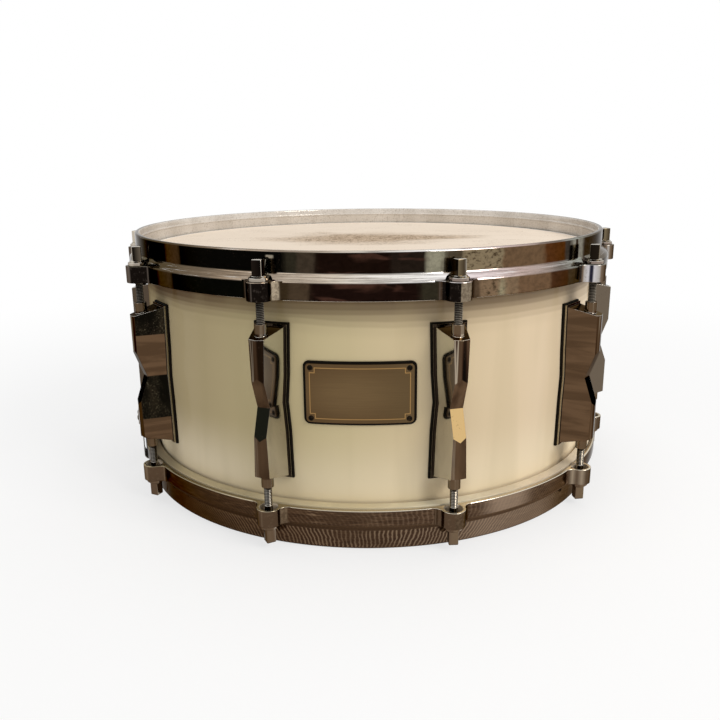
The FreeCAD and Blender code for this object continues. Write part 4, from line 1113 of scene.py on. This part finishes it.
def make_screw(name, place, finish, size, body="drum"):
    """A small domed screw with a cross cut into it."""
    dome = bmesh.new()
    post(dome, [(0, 0.9), (0.4 * size, 0.8), (0.75 * size, 0.5), (size, 0.1), (size, -0.3), (0, -0.3)], 24)
    crest = moved(0, 0, 0.9)
    bars = [block((1.1 * size, 0.42, 0.8), round_axis(turn) @ crest) for turn in (0, 90)]
    put_down(carved(dome, *bars), name, place, finish, body)


def make_pin_cap(side, across):
    """The domed end of the lever's pin."""
    cap = bmesh.new()
    post(cap, [(0, 1.2), (1.5, 1.05), (2.5, 0.6), (2.9, 0.12), (1.9, 0.12), (1.9, -0.2), (0, -0.2)], 32)
    lie = Matrix.Rotation(math.copysign(math.pi / 2, -across), 4, "X")
    cap.transform(moved(PIVOT_OUT, across, PIVOT_Z) @ lie)
    put_down(cap, f"lever_pin_cap_{side}", standing(STRAINER), FITTING, "drum")


def make_coil():
    """The first of the snare wires, as one winding tube along X."""
    coil, steps = bmesh.new(), 6
    ring = [
        coil.verts.new((STRAND * math.cos(turn), 0, COIL_RADIUS + STRAND * math.sin(turn)))
        for turn in (0.5, 2.6, 4.7)
    ]
    edges = [coil.edges.new(pair) for pair in zip(ring, ring[1:] + ring[:1])]
    bmesh.ops.spin(
        coil, geom=ring + edges, cent=(0, 0, 0), axis=(1, 0, 0), dvec=(COIL_PITCH / steps, 0, 0),
        angle=math.tau * COIL_TURNS, steps=COIL_TURNS * steps,
    )
    bmesh.ops.holes_fill(coil, edges=[edge for edge in coil.edges if edge.is_boundary], sides=3)
    coil.transform(moved(-COIL_PITCH * COIL_TURNS / 2, -WIRE_SPACING * (WIRES - 1) / 2, WIRE_Z))
    return coil


def make_end_plate(side):
    """A stepped plate that the wires' ends are soldered to."""
    step, tip = 157, 166
    corners = [(154, -1.2), (tip, -1.2), (tip, -0.4), (step, -0.4), (step, 0.6), (154, 0.6)]
    plate = bmesh.new()
    outline(plate, [((x * side, -20, WIRE_Z + z), 0) for x, z in corners])
    drawn_out(plate, (0, 40, 0))
    ends = [
        edge for edge in plate.edges
        if all(abs(vertex.co.x) > tip - 1 for vertex in edge.verts) and reach(edge, "z") > 0.1
    ]
    rounded(plate, ends, 3, 6)
    bmesh.ops.recalc_face_normals(plate, faces=plate.faces)
    return plate


def make_wires():
    """Twenty coiled wires soldered between two stepped end plates, under the lower head."""
    wires = bmesh.new()
    steps = [moved(0, WIRE_SPACING * number, 0) for number in range(WIRES)]
    take_in(wires, make_coil(), steps)
    for side in (1, -1):
        take_in(wires, make_end_plate(side))
    place = standing(STRAINER)
    piece = put_down(wires, "snare_wires_coiled", place, WIRE, "snare_wires", sharp=50)
    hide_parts("snare_wires")


def make_shell():
    """The shell, with rounded bearing edges and a vent behind."""
    tube = bmesh.new()
    turned(tube, [
        (SHELL_INSIDE, -EDGE, 0.5), (SHELL - 1.5, -EDGE, 0.5), (SHELL, -EDGE + 2.5, 1.5),
        (SHELL, EDGE - 2.5, 1.5), (SHELL - 1.5, EDGE, 0.5), (SHELL_INSIDE, EDGE - 5, 0.5),
    ], 288)
    vent = bmesh.new()
    peg(vent, VENT, VENT, 30, moved(0, SHELL, 0) @ Matrix.Rotation(math.pi / 2, 4, "X"))
    shell = put_down(carved(tube, vent), "lacquered_shell", standing(0), LACQUER, "drum")
    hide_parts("shell")


def make_fitting_screws():
    """The screws of the strainer, the butt and their jaws."""
    for side, across in (("front", -6.5), ("back", 6.5)):
        for jaw, angle, body in (("slide", STRAINER, "strainer_carriage"), ("butt", BUTT, "drum")):
            place = on_wall(angle, JAW_Z, JAW_FACE, across, True)
            make_screw(f"{jaw}_jaw_screw_{side}", place, FITTING, 2.4, body)
    for fitting, angle, out, heights, size in (
        ("strainer", STRAINER, 15.1, (-15.6, -57.2), 1.6),
        ("butt", BUTT, 13.5, (-41, -58), 1.4),
    ):
        spots = [(across, height) for height in heights for across in (-out, out)]
        for number, (across, height) in enumerate(spots, start=1):
            place = on_wall(angle, height, SHELL + 4, across, True)
            make_screw(f"{fitting}_screw_{number}", place, FITTING, size)


make_hoop("upper_hoop", "top_hoop", False, HOOP)
make_hoop("lower_hoop", "bottom_hoop", True, LOWER_HOOP)

UPPER_STOPS = (28, -15, 22, 40, -12, 8, 31, -20, 19, -10)
LOWER_STOPS = (30, 8, -25, 14, 41, -7, 19, -33, 5, 24)
for number, (upper, lower) in enumerate(zip(UPPER_STOPS, LOWER_STOPS), start=1):
    make_rod(number, below=False, stopped=upper)
    make_rod(number, below=True, stopped=lower)
    softened(f"lug_{number}", f"lug_{number}_casting", CASTING, 0.3, angle=4)

for row in (
    ("lug_gaskets", "lug_rubbers", RUBBER, 0.3, "drum", "rubber"),
    ("name_plate_gasket", "name_plate_rubber", RUBBER, 0.4, "drum", "rubber"),
    ("name_plate", "name_plate_smoked", SMOKED, 0.2, "drum", "plate_smoke"),
    ("mounting_gaskets", "mounting_rubbers", RUBBER, 0.3, "drum", "rubber"),
    ("strainer_base", "strainer_frame", FITTING, 0.4),
    ("butt_plate", "butt_block", FITTING, 0.4),
    ("butt_clamp", "butt_jaw", FITTING, 0.3),
    ("strainer_lever", "throw_lever", FITTING, 0.4, "strainer_lever"),
    ("strainer_carriage", "slide_block", FITTING, 0.4, "strainer_carriage"),
    ("strainer_clamp", "slide_jaw", FITTING, 0.3, "strainer_carriage"),
    ("tuning_knob", "tension_knob", FITTING, 0.25, "tuning_knob"),
):
    softened(*row)

make_shell()
for level, up in (("upper", PLATE_UP), ("lower", -PLATE_UP)):
    for side, across in (("left", -PLATE_OUT), ("right", PLATE_OUT)):
        place = on_wall(-90, PLATE_Z + up, SHELL + 2.1, across)
        make_screw(f"plate_screw_{level}_{side}", place, SCREW, 1.8)

make_wires()
for side, across in (("front", -15.5), ("back", 15.5)):
    make_pin_cap(side, across)
make_fitting_screws()

PLAIN = {
    "batter_head": COATED,
    "snare_head": HAZY,
    "batter_flesh_hoop": ALUMINIUM,
    "snare_flesh_hoop": ALUMINIUM,
    "vent_grommet": FITTING,
    "strainer_pin": STEEL,
    "strainer_strap": BAND,
    "butt_strap": BAND,
}
for node, finish in PLAIN.items():
    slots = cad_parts[node].data.materials
    slots.clear()
    slots.append(finish)


# --- studio ---


def light_path(look, *kinds):
    """1 for the rays of any of those kinds."""
    rays = look.add("ShaderNodeLightPath", output=kinds)
    seen = rays.pop()
    while rays:
        seen = look.math("MAXIMUM", rays.pop(), seen)
    return seen


def make_floor():
    """A pale floor that takes the drum's shadow."""
    look = Look("pale_floor")
    seen = light_path(look, "Is Camera Ray", "Is Glossy Ray", "Is Transmission Ray")
    paper = look.mix(look.noise(3, 3, 0.5), (0.93, 0.93, 0.93), (0.96, 0.96, 0.96))
    matt = look.add("ShaderNodeBsdfDiffuse", None, {"Color": paper})
    glow = look.add("ShaderNodeEmission", None, {"Color": (1, 1, 1, 1), "Strength": 1.0})
    x, y, _ = look.axes()
    away = look.distance(x, y)
    open_floor = (away.rise(240, 900) * 0.3 + 0.7) * away.rise(160, 178)
    both = look.add("ShaderNodeMixShader", None, {0: seen * open_floor, 1: matt, 2: glow})
    look.add("ShaderNodeOutputMaterial", None, {"Surface": both})
    bm = bmesh.new()
    bmesh.ops.create_circle(bm, cap_ends=True, segments=96, radius=FLOOR_RADIUS)
    bm.transform(moved(0, 0, -FLOOR_DROP))
    mesh = meshed(bm, "floor")
    mesh.materials.append(look.owner)
    floor = set_out("floor", mesh)


def make_world():
    """An even pale surround, white where it is seen or mirrored."""
    look = Look("surround", kept_in=bpy.data.worlds)
    seen = light_path(look, "Is Camera Ray", "Is Glossy Ray")
    level = look.add("ShaderNodeMapRange", None, {"Value": seen, "To Min": 0.35, "To Max": 1.0})
    pale = look.add("ShaderNodeBackground", None, {"Color": (1, 1, 1, 1), "Strength": level})
    look.add("ShaderNodeOutputWorld", None, {"Surface": pale})
    bpy.context.scene.world = look.owner


def make_lamp(name, spot, aim, size, power, tint=(1, 1, 1), mirrored=True):
    """A soft square lamp."""
    light = bpy.data.lights.new(name, "AREA")
    light.shape = "SQUARE"
    light.size = size
    light.energy = power
    light.color = tint
    lamp = set_out(name, light)
    lamp.location = spot
    lamp.visible_glossy = mirrored
    lamp.rotation_euler = (Vector(aim) - Vector(spot)).to_track_quat("-Z", "Y").to_euler()


def make_camera():
    """Low and near, a little right of the name plate, looking slightly down."""
    round_to, back, height = 1.83, 0.6267, 0.248  # degrees and metres
    yaw, pitch, roll = (math.radians(angle) for angle in (-0.69, -15.19, -0.57))
    ahead = Vector((math.sin(yaw) * math.cos(pitch), math.cos(yaw) * math.cos(pitch), math.sin(pitch)))
    right = Vector((math.cos(yaw), -math.sin(yaw), 0))
    up = right.cross(ahead)
    level, lean = math.cos(roll), math.sin(roll)
    right, up = level * right + lean * up, level * up - lean * right
    lens = bpy.data.cameras.new("camera")
    lens.lens = 37.62
    lens.sensor_width = 36.0
    lens.clip_start = 0.01
    camera = set_out("camera", lens)
    stand = Matrix((right, up, -ahead)).transposed().to_4x4()
    stand.translation = Vector((0, -back, height))
    camera.matrix_world = round_axis(round_to) @ stand
    bpy.context.scene.camera = camera


make_floor()
make_world()
AIM = (0, 0, 0.1)  # metres
make_lamp("key", (1.3, -1.1, 1.3), AIM, 0.9, 19, (1, 0.96, 0.91))
make_lamp("fill", (-1.4, -1.0, 1.0), AIM, 1.2, 3)
make_lamp("top", (0, 0.3, 1.8), AIM, 1.4, 12, mirrored=False)
make_camera()
bpy.context.scene.view_settings.view_transform = "Standard"
